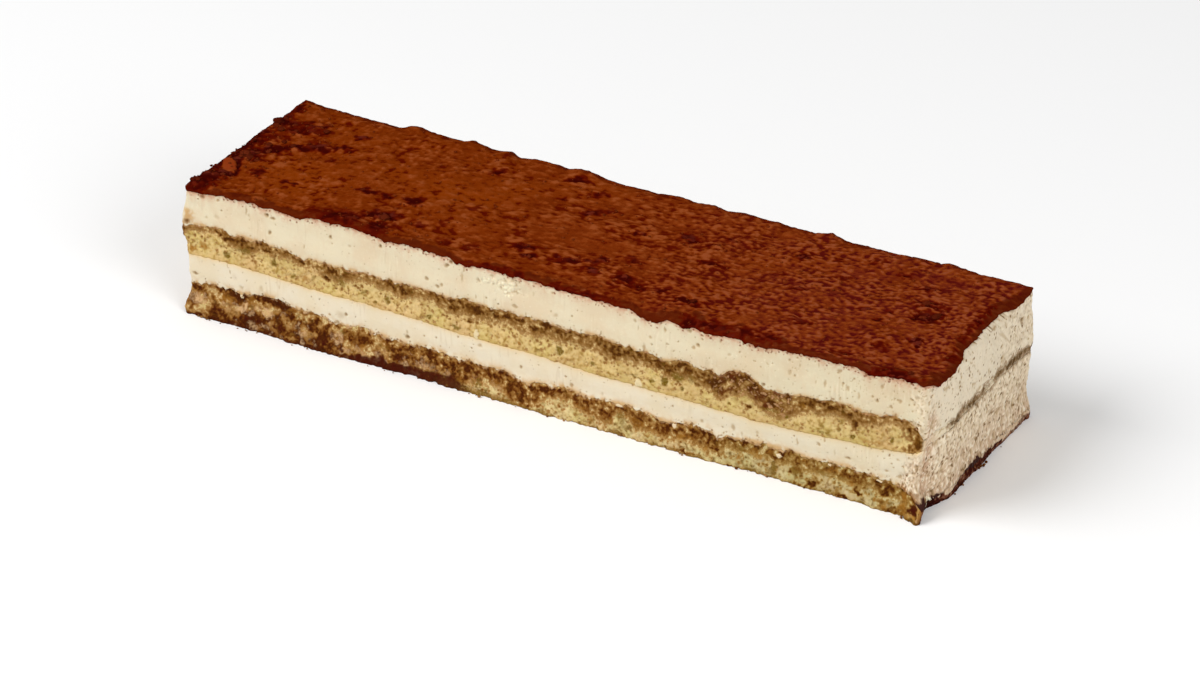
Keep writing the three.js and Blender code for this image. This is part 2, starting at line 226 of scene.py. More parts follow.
LOW_PASTE = (
    (-147, 9.6, 4.6, 2.2, 1.0), (-168, 8.6, 3.6, 2.6, 0.8), (-136, 10.6, 4.6, 2.2, 0.9),
    (-133, 5.0, 1.8, 2.4, 0.6), (-116, 6.6, 3.8, 2.6, 0.8), (-99, 8.6, 3.6, 3.0, 0.7),
    (-88, 5.8, 4.6, 1.8, 0.5), (-56, 6.8, 6.0, 1.6, 0.6), (-46, 6.0, 2.0, 2.6, 0.5),
    (-77, 8.0, 2.6, 2.0, 0.4), (-110, 3.4, 2.6, 1.6, 0.4), (-154, 7.4, 2.0, 2.0, 0.4),
    (-126, 13.0, 3.0, 1.6, 0.4), (-22, 5.2, 4.0, 2.6, 0.4), (-33, 7.0, 2.6, 2.4, 0.3),
)  # fmt: skip
LOW_OCHRE = (
    (-154, 12.4, 4.0, 1.8, 0.8), (-145, 12.4, 3.0, 1.6, 0.9), (-159, 11.0, 3.4, 2.0, 0.5),
    (-132, 12.0, 4.0, 1.6, 0.5), (-93, 12.0, 4.0, 1.4, 0.5), (-76, 11.0, 4.0, 1.8, 0.5),
    (-61, 11.4, 4.0, 1.6, 0.7), (-22, 9.0, 3.0, 1.6, 0.4), (18, 8.0, 3.4, 1.2, 0.6),
    (45, 8.6, 4.0, 1.8, 0.7), (66, 8.0, 4.6, 1.6, 0.7), (52, 7.0, 3.0, 1.4, 0.5),
    (107, 5.4, 2.2, 3.2, 0.7), (134, 11.8, 6.0, 1.2, 0.5), (142, 8.0, 2.0, 2.6, 0.6),
    (172, 2.4, 3.0, 2.6, 0.8), (167, 7.0, 2.6, 2.0, 0.5), (120, 11.6, 5.0, 1.0, 0.5),
)  # fmt: skip
LOW_OLIVE = (
    (117, 6.8, 2.8, 2.6, 0.75), (107, 5.0, 1.8, 3.2, 0.85), (86, 3.0, 3.0, 1.4, 0.3),
    (31, 5.0, 2.0, 2.6, 0.4), (37, 8.0, 2.4, 3.0, 0.5), (-31, 5.4, 2.4, 1.6, 0.6),
    (129, 9.4, 3.0, 1.6, 0.4), (150, 7.0, 3.0, 1.8, 0.4), (92, 9.6, 1.6, 1.4, 0.5),
    (-118, 13.0, 2.4, 1.4, 0.5), (-97, 12.2, 1.8, 1.6, 0.5), (22, 3.0, 2.0, 1.0, 0.5),
    (-174, 2.8, 1.6, 1.8, 0.8), (68, 3.4, 5.0, 1.2, 0.4), (160, 4.0, 2.0, 1.6, 0.4),
)  # fmt: skip
# bits of cream smeared over the crumb of the cut side
CREAM_BITS = (
    (-147, 15.6, 0.9, 1.6, 0.9), (-31.5, 28.6, 1.1, 2.6, 1.0), (45, 27.0, 1.8, 1.9, 1.0),
    (36, 14.0, 1.3, 1.0, 0.9), (61.5, 11.8, 0.9, 1.3, 0.9), (109, 11.0, 1.5, 1.0, 1.0),
    (154, 12.6, 1.4, 0.6, 0.9), (132, 13.5, 1.1, 0.6, 0.9),
)  # fmt: skip
# pits and specks in the upper cream, then in the lower cream, dented in and darkened with the pits' painted shade
HIGH_SPECKS = (
    (-173.4, 44.8, 2.4, 1.2, 1.0), (-165, 58.0, 1.2, 0.9, 0.8), (-157, 58.6, 0.9, 0.8, 0.7), (-143, 57.2, 0.6, 2.0, 0.5),
    (-133, 57.6, 1.0, 1.0, 0.8), (-130, 56.8, 1.3, 0.7, 0.9), (-131.5, 50.0, 0.9, 0.9, 0.9),
    (-163, 49.0, 0.8, 0.8, 0.4), (-158, 50.6, 1.6, 1.2, 0.3), (-101, 55.8, 0.7, 0.8, 0.9),
    (-92, 54.0, 1.0, 0.9, 0.4), (-77, 57.8, 0.8, 0.9, 1.0), (-54.5, 48.6, 1.1, 0.8, 0.7),
    (-49.5, 46.8, 1.0, 0.8, 0.8), (-47.5, 47.6, 0.7, 0.7, 0.7), (-45, 57.2, 1.1, 1.0, 0.8),
    (-43, 59.4, 0.8, 1.0, 0.9), (-38, 53.4, 0.7, 2.8, 0.4), (-13, 46.8, 1.4, 0.7, 0.6),
    (-12, 52.6, 0.8, 0.8, 0.4), (-4, 54.6, 0.7, 1.4, 0.3), (5, 58.0, 1.0, 0.8, 0.5),
    (7, 48.2, 1.4, 1.2, 0.4), (43, 55.2, 0.8, 1.0, 0.5), (50.5, 50.0, 0.8, 0.8, 0.5),
    (57, 55.0, 0.5, 1.4, 0.6), (72, 51.8, 0.8, 0.8, 0.8), (70, 50.2, 0.8, 0.9, 0.6),
    (86, 51.2, 0.9, 0.8, 0.4), (68, 57.4, 1.2, 0.8, 0.7), (82, 56.4, 0.6, 1.3, 0.5),
    (47.5, 44.8, 0.9, 1.6, 0.5), (103, 52.0, 0.8, 0.7, 0.4), (113, 50.6, 0.9, 1.4, 0.4),
    (129, 50.0, 0.7, 1.8, 0.5), (135, 57.2, 1.2, 1.2, 0.6), (139, 50.6, 0.8, 1.2, 0.5),
    (144, 48.6, 0.6, 1.6, 0.5), (152, 48.8, 0.7, 0.8, 0.8), (154, 55.4, 0.8, 1.2, 0.6),
    (158, 48.0, 0.7, 0.7, 0.7), (162, 51.2, 1.0, 1.0, 0.6), (-10, 55.0, 5.0, 2.2, 0.2),
)  # fmt: skip
LOW_SPECKS = (
    (-170, 21.0, 1.5, 0.7, 0.8), (-174, 18.6, 0.8, 0.8, 0.8), (-147, 20.0, 1.2, 1.2, 0.4),
    (-137, 22.4, 1.0, 2.0, 0.3), (-97, 20.4, 2.4, 2.4, 0.3), (-94.5, 21.6, 0.8, 0.8, 0.8),
    (-99, 16.4, 1.0, 0.9, 0.7), (-65, 18.4, 0.9, 0.9, 0.9), (-65, 20.6, 0.6, 1.2, 0.4),
    (-49, 18.4, 0.6, 0.6, 0.5), (-10.5, 19.0, 0.8, 0.8, 0.8), (-30, 24.0, 1.2, 0.9, 0.5),
    (13.5, 17.6, 0.8, 1.2, 0.7), (28, 17.2, 0.8, 0.9, 0.3), (74, 17.6, 1.0, 1.0, 0.5),
    (88, 18.4, 0.8, 1.8, 0.5), (79, 20.4, 2.0, 0.5, 0.2), (117, 20.0, 0.5, 2.0, 0.5),
    (127, 22.2, 0.8, 0.8, 0.7), (140, 19.2, 1.3, 0.7, 0.8), (157, 18.6, 1.0, 0.6, 0.7),
    (163, 17.4, 1.2, 1.0, 0.6), (162, 24.8, 0.8, 0.6, 0.5), (99, 19.0, 0.8, 1.0, 0.4),
    (92, 16.2, 0.6, 1.2, 0.4), (-150, 24.0, 2.0, 1.6, 0.2), (134, 20.0, 0.6, 2.0, 0.3),
)  # fmt: skip
# bits of cream over the dark foot of the nose end
END_BITS = (
    (-44.4, 7.2, 2.3, 1.3, 1.0), (-41.6, 5.8, 1.9, 1.4, 1.0), (-39.4, 4.6, 1.5, 1.1, 1.0),
    (-36.6, 4.4, 0.9, 0.6, 0.5),
)  # fmt: skip
# dark slits and pits on the nose end, by y and z, dented in and darkened with the pits' painted shade
END_SPECKS = (
    (37, 50.0, 2.0, 1.0, 0.8), (18, 47.0, 1.4, 0.9, 0.6), (6, 41.6, 0.8, 1.6, 0.6),
    (-3, 38.0, 1.6, 1.4, 0.5), (-5, 59.0, 1.4, 0.9, 0.8), (13, 57.4, 2.0, 0.7, 0.6),
    (-34, 33.0, 2.0, 1.0, 0.8), (-47, 33.2, 1.6, 0.9, 0.8), (-43, 41.0, 1.8, 1.8, 0.6),
    (-38, 30.0, 1.4, 1.2, 0.6), (-48, 48.6, 1.6, 0.9, 0.5), (-32, 52.0, 1.8, 1.2, 0.5),
    (-30, 29.0, 1.2, 0.9, 0.5), (-9, 42.6, 1.4, 0.9, 0.5), (-5, 46.6, 1.2, 1.0, 0.3),
    (18, 16.6, 2.2, 0.7, 0.7), (38, 12.2, 1.6, 1.0, 0.7), (32, 13.0, 1.0, 2.4, 0.4),
    (23, 4.8, 1.4, 0.8, 0.8), (8, 11.0, 1.0, 0.9, 0.4), (-20, 15.0, 1.4, 1.2, 0.4),
    (-33, 14.6, 2.0, 1.4, 0.4), (34, 21.0, 1.2, 0.9, 0.4), (22, 55.0, 1.0, 2.4, 0.3),
    (30, 54.6, 2.6, 0.7, 0.4), (-17, 57.0, 1.4, 0.9, 0.4), (-22, 56.0, 1.2, 1.0, 0.4),
    (20, 40.0, 3.0, 3.0, 0.3), (16, 25.0, 1.0, 0.8, 0.3), (-15, 24.0, 1.0, 0.8, 0.3),
)  # fmt: skip


# ============================================================================================
# noise
# ============================================================================================
def lattice(ix, iy, iz, seed):
    h = (ix * 73856093) ^ (iy * 19349663) ^ (iz * 83492791) ^ (seed * 1640531513)
    h &= 0xFFFFFFFF
    h = ((h ^ (h >> 16)) * 0x45D9F3B) & 0xFFFFFFFF
    h = ((h ^ (h >> 16)) * 0x45D9F3B) & 0xFFFFFFFF
    return h ^ (h >> 16)


def points(x, y, z, sx=1.0, sy=None, sz=None):
    """Stacks coordinates, each divided by a size in mm, as an (n, 3) array."""
    sy = sx if sy is None else sy
    sz = sx if sz is None else sz
    x, y, z = np.broadcast_arrays(
        np.asarray(x, float) / sx, np.asarray(y, float) / sy, np.asarray(z, float) / sz
    )
    return np.stack([x.ravel(), y.ravel(), z.ravel()], 1), x.shape


def noise(x, y, z, size, seed, sy=None, sz=None):
    """Gradient noise, about -1 to 1, with features of the given size in mm."""
    p, shape = points(x, y, z, size, sy, sz)
    i = np.floor(p).astype(np.int64)
    f = p - i
    u = f * f * f * (f * (f * 6 - 15) + 10)
    total = np.zeros(len(p))
    for dx in (0, 1):
        wx = u[:, 0] if dx else 1 - u[:, 0]
        for dy in (0, 1):
            wy = u[:, 1] if dy else 1 - u[:, 1]
            for dz in (0, 1):
                wz = u[:, 2] if dz else 1 - u[:, 2]
                h = lattice(i[:, 0] + dx, i[:, 1] + dy, i[:, 2] + dz, seed)
                g = (
                    ((h & 1023) / 511.5 - 1) * (f[:, 0] - dx)
                    + (((h >> 10) & 1023) / 511.5 - 1) * (f[:, 1] - dy)
                    + (((h >> 20) & 1023) / 511.5 - 1) * (f[:, 2] - dz)
                )
                total += wx * wy * wz * g
    return (total * 1.5).reshape(shape)


def cells(x, y, z, size, seed, sy=None, sz=None):
    """Cellular noise: distance to the nearest cell centre and to the next, in cell sizes, and
    the nearest cell's number."""
    p, shape = points(x, y, z, size, sy, sz)
    i = np.floor(p).astype(np.int64)
    best = np.full(len(p), 9.0)
    second = np.full(len(p), 9.0)
    ident = np.zeros(len(p), np.int64)
    for dx in (-1, 0, 1):
        for dy in (-1, 0, 1):
            for dz in (-1, 0, 1):
                cx, cy, cz = i[:, 0] + dx, i[:, 1] + dy, i[:, 2] + dz
                h = lattice(cx, cy, cz, seed)
                d = (
                    (cx + (h & 1023) / 1023.0 - p[:, 0]) ** 2
                    + (cy + ((h >> 10) & 1023) / 1023.0 - p[:, 1]) ** 2
                    + (cz + ((h >> 20) & 1023) / 1023.0 - p[:, 2]) ** 2
                )
                near = d < best
                second = np.where(near, best, np.minimum(second, d))
                ident = np.where(near, h, ident)
                best = np.where(near, d, best)
    return (
        np.sqrt(best).reshape(shape),
        np.sqrt(second).reshape(shape),
        ident.reshape(shape),
    )


def share(ident, salt):
    """A number from 0 to 1 for each cell."""
    h = (ident ^ (salt * 0x9E3779B1)) & 0xFFFFFFFF
    h = ((h ^ (h >> 15)) * 0x2C1B3C6D) & 0xFFFFFFFF
    h ^= h >> 13
    return h / 4294967296.0


def pits(x, y, z, size, density, seed, sy=None, sz=None):
    """Round-bottomed pits, 0 outside and 1 at the deepest. Density is the share of cells that
    hold one, a number or an array."""
    d, _, ident = cells(x, y, z, size, seed, sy, sz)
    r = 0.26 + 0.30 * share(ident, 3)
    there = share(ident, 7) < density
    return np.where(there & (d < r), np.sqrt(np.clip(1 - (d / r) ** 2, 0, 1)), 0.0)


def hump(d, reach):
    """A round bump over a cell: 1 at its centre, 0 at the reach."""
    return clamp01(1 - (d / reach) ** 2)


def clamp01(v):
    return np.clip(v, 0.0, 1.0)


def smooth(a, b, v):
    t = clamp01((v - a) / (b - a))
    return t * t * (3 - 2 * t)


def table(pairs, x):
    a = np.array(pairs, float)
    return np.interp(x, a[:, 0], a[:, 1])


# ============================================================================================
# the bar's form, as in the CAD source
# ============================================================================================
def level(abc, x):
    a, b, c = abc
    t = np.clip(x / HX, -1, 1)
    return b + ((c - a) / 2) * t + ((a + c) / 2 - b) * t * t


def wander(s, wavelength, phase):
    return (
        np.sin((2 * np.pi * s) / wavelength + phase)
        + 0.6 * np.sin((2 * np.pi * s) / (wavelength * 0.437) + 2.3 * phase + 1.1)
        + 0.35 * np.sin((2 * np.pi * s) / (wavelength * 0.193) + 4.1 * phase + 2.7)
    ) / 1.95


def finger_at(widths, x, y, phase):
    """Number of the ladyfinger at a point, and where across it the point lies, -1 to 1."""
    widths = np.array(widths, float)
    starts = np.concatenate([[0], np.cumsum(widths)])
    skew = 1.6 * wander(y, 70, phase)
    at = np.clip(((x + skew + HX) / LENGTH) * starts[-1], 0, starts[-1] - 1e-6)
    i = np.clip(np.searchsorted(starts, at, side="right") - 1, 0, len(widths) - 1)
    return i, 2 * (at - starts[i]) / widths[i] - 1


def dome(widths, heights, x, y, phase):
    i, t = finger_at(widths, x, y, phase)
    high = np.array(heights)[i] * (1 + 0.25 * wander(y, 60, phase + i))
    return high * smooth(0, 0.8, 1 - np.abs(t))


def nose_shape(x):
    t = clamp01((x - (HX - NOSE_LENGTH)) / NOSE_LENGTH)
    return np.sqrt(np.maximum(1 - t * t, 0))


def foot(x, y):
    return np.zeros(np.broadcast(x, y).shape)


def crumb_edge(x, y, seed, deep):
    """Raggedness of a crumb line where it meets cream."""
    return deep * (
        0.55 * noise(x, y, 0, 4.6, seed)
        + 0.45 * noise(x, y, 0, 2.1, seed + 1)
        + 0.25 * noise(x, y, 0, 1.2, seed + 2)
    )


def as_read(heights, x, y, z):
    """Brings a height to the one read on the cut side, and leaves it alone farther in."""
    near = 1 - smooth(-HY + 1.5, -HY + 10, y)
    return z + near * (table(heights, x) - z)


def low_sponge_top(x, y):
    full = (
        level(SPONGE_LOW_VALLEY, x)
        + dome(FINGERS_LOW, DOMES_LOW, x, y, 0.7)
        + 0.35 * wander(y, 80, 0.4)
    )
    e = nose_shape(x)
    z = LOW_NOSE_TIP + (full - LOW_NOSE_TIP) * e
    return as_read(LOW_TOP, x, y, z) + crumb_edge(x, y, 11, 2.2)


def nose_level(y):
    return NOSE_LEVEL + 0.7 * wander(y, 95, 1.3)


def high_sponge_base(x, y):
    full = level(SPONGE_HIGH_BASE, x) + 0.45 * wander(x, 150, 2.0) + 0.3 * wander(y, 60, 0.9)
    e = nose_shape(x)
    tip = nose_level(y) - NOSE_TIP
    return as_read(HIGH_BASE, x, y, tip + (full - tip) * e) + crumb_edge(x, y, 21, 0.7)


def high_sponge_top(x, y):
    full = (
        level(SPONGE_HIGH_VALLEY, x)
        + dome(FINGERS_HIGH, DOMES_HIGH, x, y, 2.1)
        + 0.35 * wander(y, 66, 2.2)
    )
    e = nose_shape(x)
    tip = nose_level(y) + NOSE_TIP
    return as_read(HIGH_TOP, x, y, tip + (full - tip) * e) + crumb_edge(x, y, 31, 2.2)


def cream_top_smooth(x, y):
    """The CAD's top of the cream, brought to the heights read along the two long rims."""
    edge = np.minimum(HX - np.abs(x), HY - np.abs(y))
    shoulder = 0.3 * (1 - smooth(0, 4, edge))
    wave = 0.7 * TOP_WAVE * (wander(x, 120, 0.8) + 0.6 * wander(y, 75, 1.9))
    swell = SWELL[2] * np.exp(-(((x - SWELL[0]) / SWELL[1]) ** 2))
    z = HEIGHT - COCOA_THICKNESS + wave + swell - TOP_TILT * y / HY - shoulder
    front = 1 - smooth(-HY + 1.5, -HY + 9, y)
    rear = smooth(HY - 8, HY - 1.5, y)
    z = z + front * np.clip(table(FRONT_RIM, x) + 0.55 - z, -1.0, 2.0)
    return z + rear * np.clip(table(BACK_RIM, x) - 1.0 - z, -1.6, 2.2)


def cream_top(x, y):
    return cream_top_smooth(x, y) + crumb_edge(x, y, 41, 0.3)


def plain_sides(x, y, z):
    """Moves a point of the plain block to its place on the uneven bar."""
    ex, ey = x / HX, y / HY
    face = WALL_WAVE * (0.7 * wander(z + 11, 47, 0.6) + 0.3 * np.sin(z * 0.31 + 1))
    side = np.sign(ey) * np.abs(ey) ** 3
    dy = side * (WALL_WAVE * wander(x + 13 * np.sign(ey), 130, 1.4 + ey) + face)
    dx = np.sign(ex) * np.abs(ex) ** 30 * (WALL_WAVE * wander(y, 61, 0.9 + 2 * ex) + face)
    low = 1 - smooth(0, 12, z)
    dy = dy + side * FOOT_SPREAD * low * (0.55 + 0.45 * wander(x, 90, 3.0))
    near_end = smooth(HX - 14, HX, x)
    near_front = 1 - smooth(-HY + 4, -HY + 22, y)
    dx = dx - CORNER_TUCK * (1 - clamp01(z / HEIGHT)) ** 1.4 * near_end * near_front
    return x + dx, y + dy


def shape_sides(x, y, z):
    """The same, and at the foot of the front corner the squashed toe of the last ladyfinger."""
    sx, sy = plain_sides(x, y, z)
    near = smooth(HX - 10, HX - 1, x) * (1 - smooth(-HY + 1, -HY + 9, y))
    return sx + 4.0 * near * (1 - smooth(3, 15, z)), sy - 4.3 * near * (1 - smooth(0, 9, z))


def end_bulge(x, y, z, nx, ny):
    """How far the layers stand out of the cut end, and of the far corner of the nose end."""
    left = clamp01(-nx) * (1 - 0.55 * smooth(-30, 0, y))
    far = smooth(HX - 9, HX - 1, x) * smooth(HY - 12, HY - 1, y)
    return left * table(LEFT_EDGE, z) + 0.8 * far * table(FAR_EDGE, z)


# where the CAD model centres the bar: its own box, found on the plain walls
_u = np.linspace(-1, 1, 801)
_zz = np.linspace(0, HEIGHT, 61)[:, None]
_ax, _ = plain_sides(np.full((1, 801), -HX), _u[None] * HY * 0.9, _zz)
_bx, _ = plain_sides(np.full((1, 801), HX), _u[None] * HY * 0.9, _zz)
_, _ay = plain_sides(_u[None] * HX * 0.98, np.full((1, 801), -HY), _zz)
_, _by = plain_sides(_u[None] * HX * 0.98, np.full((1, 801), HY), _zz)
CENTRE = np.array([(_ax.min() + _bx.max()) / 2, (_ay.min() + _by.max()) / 2, 0.0])
PLACE = np.array([(CAD_LO.x + CAD_HI.x) * 500, (CAD_LO.y + CAD_HI.y) * 500, CAD_LO.z * 1000])
SHIFT = PLACE - CENTRE


# ============================================================================================
# meshes
# ============================================================================================
def make_mesh(name, co, faces, attributes=(), uv=None):
    """A mesh object from millimetre points and a list of face arrays (n, 3) or (n, 4)."""
    me = bpy.data.meshes.new(name)
    co = (np.asarray(co, float) + SHIFT) * 0.001
    flat = np.concatenate([f.ravel() for f in faces]).astype(np.int32)
    totals = np.concatenate([np.full(len(f), f.shape[1]) for f in faces]).astype(np.int32)
    starts = np.concatenate([[0], np.cumsum(totals)[:-1]]).astype(np.int32)
    me.vertices.add(len(co))
    me.vertices.foreach_set("co", co.astype(np.float32).ravel())
    me.loops.add(len(flat))
    me.loops.foreach_set("vertex_index", flat)
    me.polygons.add(len(totals))
    me.polygons.foreach_set("loop_start", starts)
    me.polygons.foreach_set("loop_total", totals)
    me.update(calc_edges=True)
    me.validate()
    me.polygons.foreach_set("use_smooth", np.ones(len(me.polygons), bool))
    for label, values in dict(attributes).items():
        a = me.attributes.new(label, "FLOAT", "POINT")
        a.data.foreach_set("value", np.asarray(values, np.float32).ravel())
    if uv is not None and len(uv) == len(me.loops):
        layer = me.uv_layers.new(name="OFBake")
        layer.data.foreach_set("uv", np.asarray(uv, np.float32).ravel())
    ob = bpy.data.objects.new(name, me)
    bpy.context.scene.collection.objects.link(ob)
    return ob


def perimeter(step):
    """Points and outward directions round the plan, counter-clockwise from the front left."""
    r = PLAN_RADIUS
    pts, nor = [], []

    def straight(a, b, n):
        k = max(2, round(np.hypot(b[0] - a[0], b[1] - a[1]) / step))
        for i in range(k):
            t = i / k
            pts.append((a[0] + (b[0] - a[0]) * t, a[1] + (b[1] - a[1]) * t))
            nor.append(n)

    def bend(cx, cy, start):
        k = max(4, round(np.pi / 2 * r / step))
        for i in range(k):
            a = start + (np.pi / 2) * i / k
            pts.append((cx + r * math.cos(a), cy + r * math.sin(a)))
            nor.append((math.cos(a), math.sin(a)))

    straight((-HX + r, -HY), (HX - r, -HY), (0, -1))
    bend(HX - r, -HY + r, -np.pi / 2)
    straight((HX, -HY + r), (HX, HY - r), (1, 0))
    bend(HX - r, HY - r, 0)
    straight((HX - r, HY), (-HX + r, HY), (0, 1))
    bend(-HX + r, HY - r, np.pi / 2)
    straight((-HX, HY - r), (-HX, -HY + r), (-1, 0))
    bend(-HX + r, -HY + r, np.pi)
    return np.array(pts), np.array(nor, float)


def fill(ring_xy, height, first, spacing=7.0):
    """Triangles that close a ring of points, with a loose grid of points inside it. Returns new
    points and the triangles, numbered after first for the ring and then on."""
    n = len(ring_xy)
    gx = np.arange(-HX + 8, HX - 8, spacing)
    gy = np.arange(-HY + 8, HY - 8, spacing)
    inner = [(x + (spacing / 2 if j % 2 else 0), y) for j, y in enumerate(gy) for x in gx]
    co2 = [Vector(map(float, p)) for p in ring_xy] + [Vector(map(float, p)) for p in inner]
    out = geometry.delaunay_2d_cdt(co2, [], [list(range(n))], 1, 1e-5)
    vs, tris, origin = np.array([v[:] for v in out[0]]), out[2], out[3]
    number = np.empty(len(vs), int)
    added = []
    for k, who in enumerate(origin):
        own = [w for w in who if w < n]
        if own:
            number[k] = first + own[0]
        else:
            number[k] = -1 - len(added)
            added.append(vs[k])
    added = np.array(added).reshape(-1, 2)
    tri = np.array([t for t in tris if len(t) == 3])
    a, b, c = vs[tri[:, 0]], vs[tri[:, 1]], vs[tri[:, 2]]
    up = (b[:, 0] - a[:, 0]) * (c[:, 1] - a[:, 1]) - (b[:, 1] - a[:, 1]) * (c[:, 0] - a[:, 0])
    tri = np.where((up < 0)[:, None], tri[:, ::-1], tri)
    return added, height(added[:, 0], added[:, 1]), number[tri]


# the bake's map: strips of the walls laid one over another on a square of this many mm
MAP_SIDE = 196.0


def strip_places(s, total, tall, gap=1.2):
    """The strip that holds each wall column, where it starts, and its place up the map."""
    per = total / 5
    k = np.minimum((s / per).astype(int), 4)
    return k * per, k * (tall + gap) + gap


def wall_layer(name, low, high, rows, relief, shoulder=None):
    """One layer of the bar as a closed mesh between two height functions. relief gives how far
    the wall stands out at each point and the shader's attributes there. shoulder gives the
    radius that the layer's upper rim rounds over with."""
    P, N = perimeter(WALL_STEP)
    n = len(P)
    X, Y = P[:, 0][None], P[:, 1][None]
    zl, zh = low(X, Y), high(X, Y)
    t = np.linspace(0, 1, rows + 1)[:, None]
    Z = zl + (zh - zl) * t
    XX, YY = np.broadcast_to(X, Z.shape), np.broadcast_to(Y, Z.shape)
    nx, ny = np.broadcast_to(N[:, 0][None], Z.shape), np.broadcast_to(N[:, 1][None], Z.shape)
    out, marks = relief(XX, YY, Z, zl, zh, nx, ny)
    out = out + end_bulge(XX, YY, Z, nx, ny)
    if shoulder is not None:
        R = shoulder(X, Y)
        up = clamp01((Z - (zh - R)) / R)
        out = out - R * (1 - np.sqrt(np.clip(1 - up * up, 0, 1)))
    sx, sy = shape_sides(XX, YY, Z)
    sx, sy = sx + nx * out, sy + ny * out
    co = [np.stack([sx, sy, Z], -1).reshape(-1, 3)]
    k = np.arange(n)
    k1 = (k + 1) % n
    faces = [
        np.concatenate(
            [
                np.stack([j * n + k, j * n + k1, (j + 1) * n + k1, (j + 1) * n + k], 1)
                for j in range(rows)
            ]
        )
    ]
    # map of the walls
    seg = np.hypot(*(P[k1] - P).T)
    s0 = np.concatenate([[0], np.cumsum(seg)[:-1]])
    s1 = s0 + seg
    zmin, tall = Z.min(), float(Z.max() - Z.min())
    start, base = strip_places(s0, seg.sum(), tall)
    u0, u1 = s0 - start + 1.0, s1 - start + 1.0
    uvs = []
    for j in range(rows):
        a, b = Z[j] - zmin + base, Z[j][k1] - zmin + base
        c, d = Z[j + 1][k1] - zmin + base, Z[j + 1] - zmin + base
        uvs.append(np.stack([u0, a, u1, b, u1, c, u0, d], 1).reshape(-1, 4, 2))
    uv = [np.concatenate(uvs).reshape(-1, 2)]
    marks = {m: [np.broadcast_to(v, Z.shape).ravel()] for m, v in marks.items()}

    # caps: one ring a little inside the rim, then loose triangles
    used = len(co[0])
    caps = []
    for ring0, f, upward, inset, row in (
        (rows * n, high, True, 3.6 if shoulder is not None else 2.2, rows),
        (0, low, False, 2.2, 0),
    ):
        px, py = P[:, 0] - N[:, 0] * inset, P[:, 1] - N[:, 1] * inset
        qx, qy = shape_sides(px, py, Z[row])
        bulge = end_bulge(P[:, 0], P[:, 1], Z[row], N[:, 0], N[:, 1])
        first = used
        ring = np.stack([qx + N[:, 0] * bulge, qy + N[:, 1] * bulge, f(px, py)], 1)
        co.append(ring)
        used += n
        a, b, c, d = ring0 + k, ring0 + k1, first + k1, first + k
        q = np.stack([a, b, c, d], 1) if upward else np.stack([b, a, d, c], 1)
        added, z2, tri = fill(ring[:, :2], f, first)
        tri = np.where(tri < 0, used + (-1 - tri), tri)
        tri = tri if upward else tri[:, ::-1]
        co.append(np.stack([added[:, 0], added[:, 1], z2], 1))
        used += len(added)
        faces += [q, tri]
        caps.append((q, tri))
        for m in marks:
            marks[m].append(marks[m][0].reshape(rows + 1, n)[row] * 0.8)
            marks[m].append(np.full(len(added), float(np.mean(marks[m][0])) * 0.8))
    xyz = np.concatenate(co)
    half = (MAP_SIDE - 4) / 2
    map_y = 5 * (tall + 1.2) + 3.0
    for side, pair in enumerate(caps):
        for f in pair:
            p = xyz[f.ravel()][:, :2]
            uv.append(
                np.stack(
                    [
                        2 + side * half + (p[:, 0] + HX + 3) / (LENGTH + 8) * (half - 2),
                        map_y + (p[:, 1] + HY + 3) / (LENGTH + 8) * (half - 2),
                    ],
                    1,
                )
            )
    return make_mesh(
        name,
        xyz,
        faces,
        {m: np.concatenate(v) for m, v in marks.items()},
        np.concatenate(uv) / MAP_SIDE,
    )


# ============================================================================================
# relief of each layer
# ============================================================================================
def spots(s, z, listed, seed, ragged=0.9, low=0.6):
    """Soft spots at listed places of a wall: 0 outside, their strength inside. s runs along
    the wall. low is how much lower than listed they lie, as the wall stands back a little."""
    s, z = np.broadcast_arrays(s, z + low)
    ws = s + ragged * (noise(s, 0, z, 2.6, seed) + 0.7 * noise(s, 0, z, 1.2, seed + 1))
    wz = z + ragged * (noise(s, 4, z, 2.6, seed + 2) + 0.7 * noise(s, 4, z, 1.2, seed + 3))
    out = np.zeros(s.shape)
    for cs, cz, rs, rz, strong in listed:
        near = (np.abs(s - cs) < 2.4 * rs + 3) & (np.abs(z - cz) < 2.4 * rz + 3)
        if near.any():
            r2 = ((ws[near] - cs) / rs) ** 2 + ((wz[near] - cz) / rz) ** 2
            out[near] = np.maximum(out[near], strong * np.exp(-0.9 * r2**1.3))
    return out


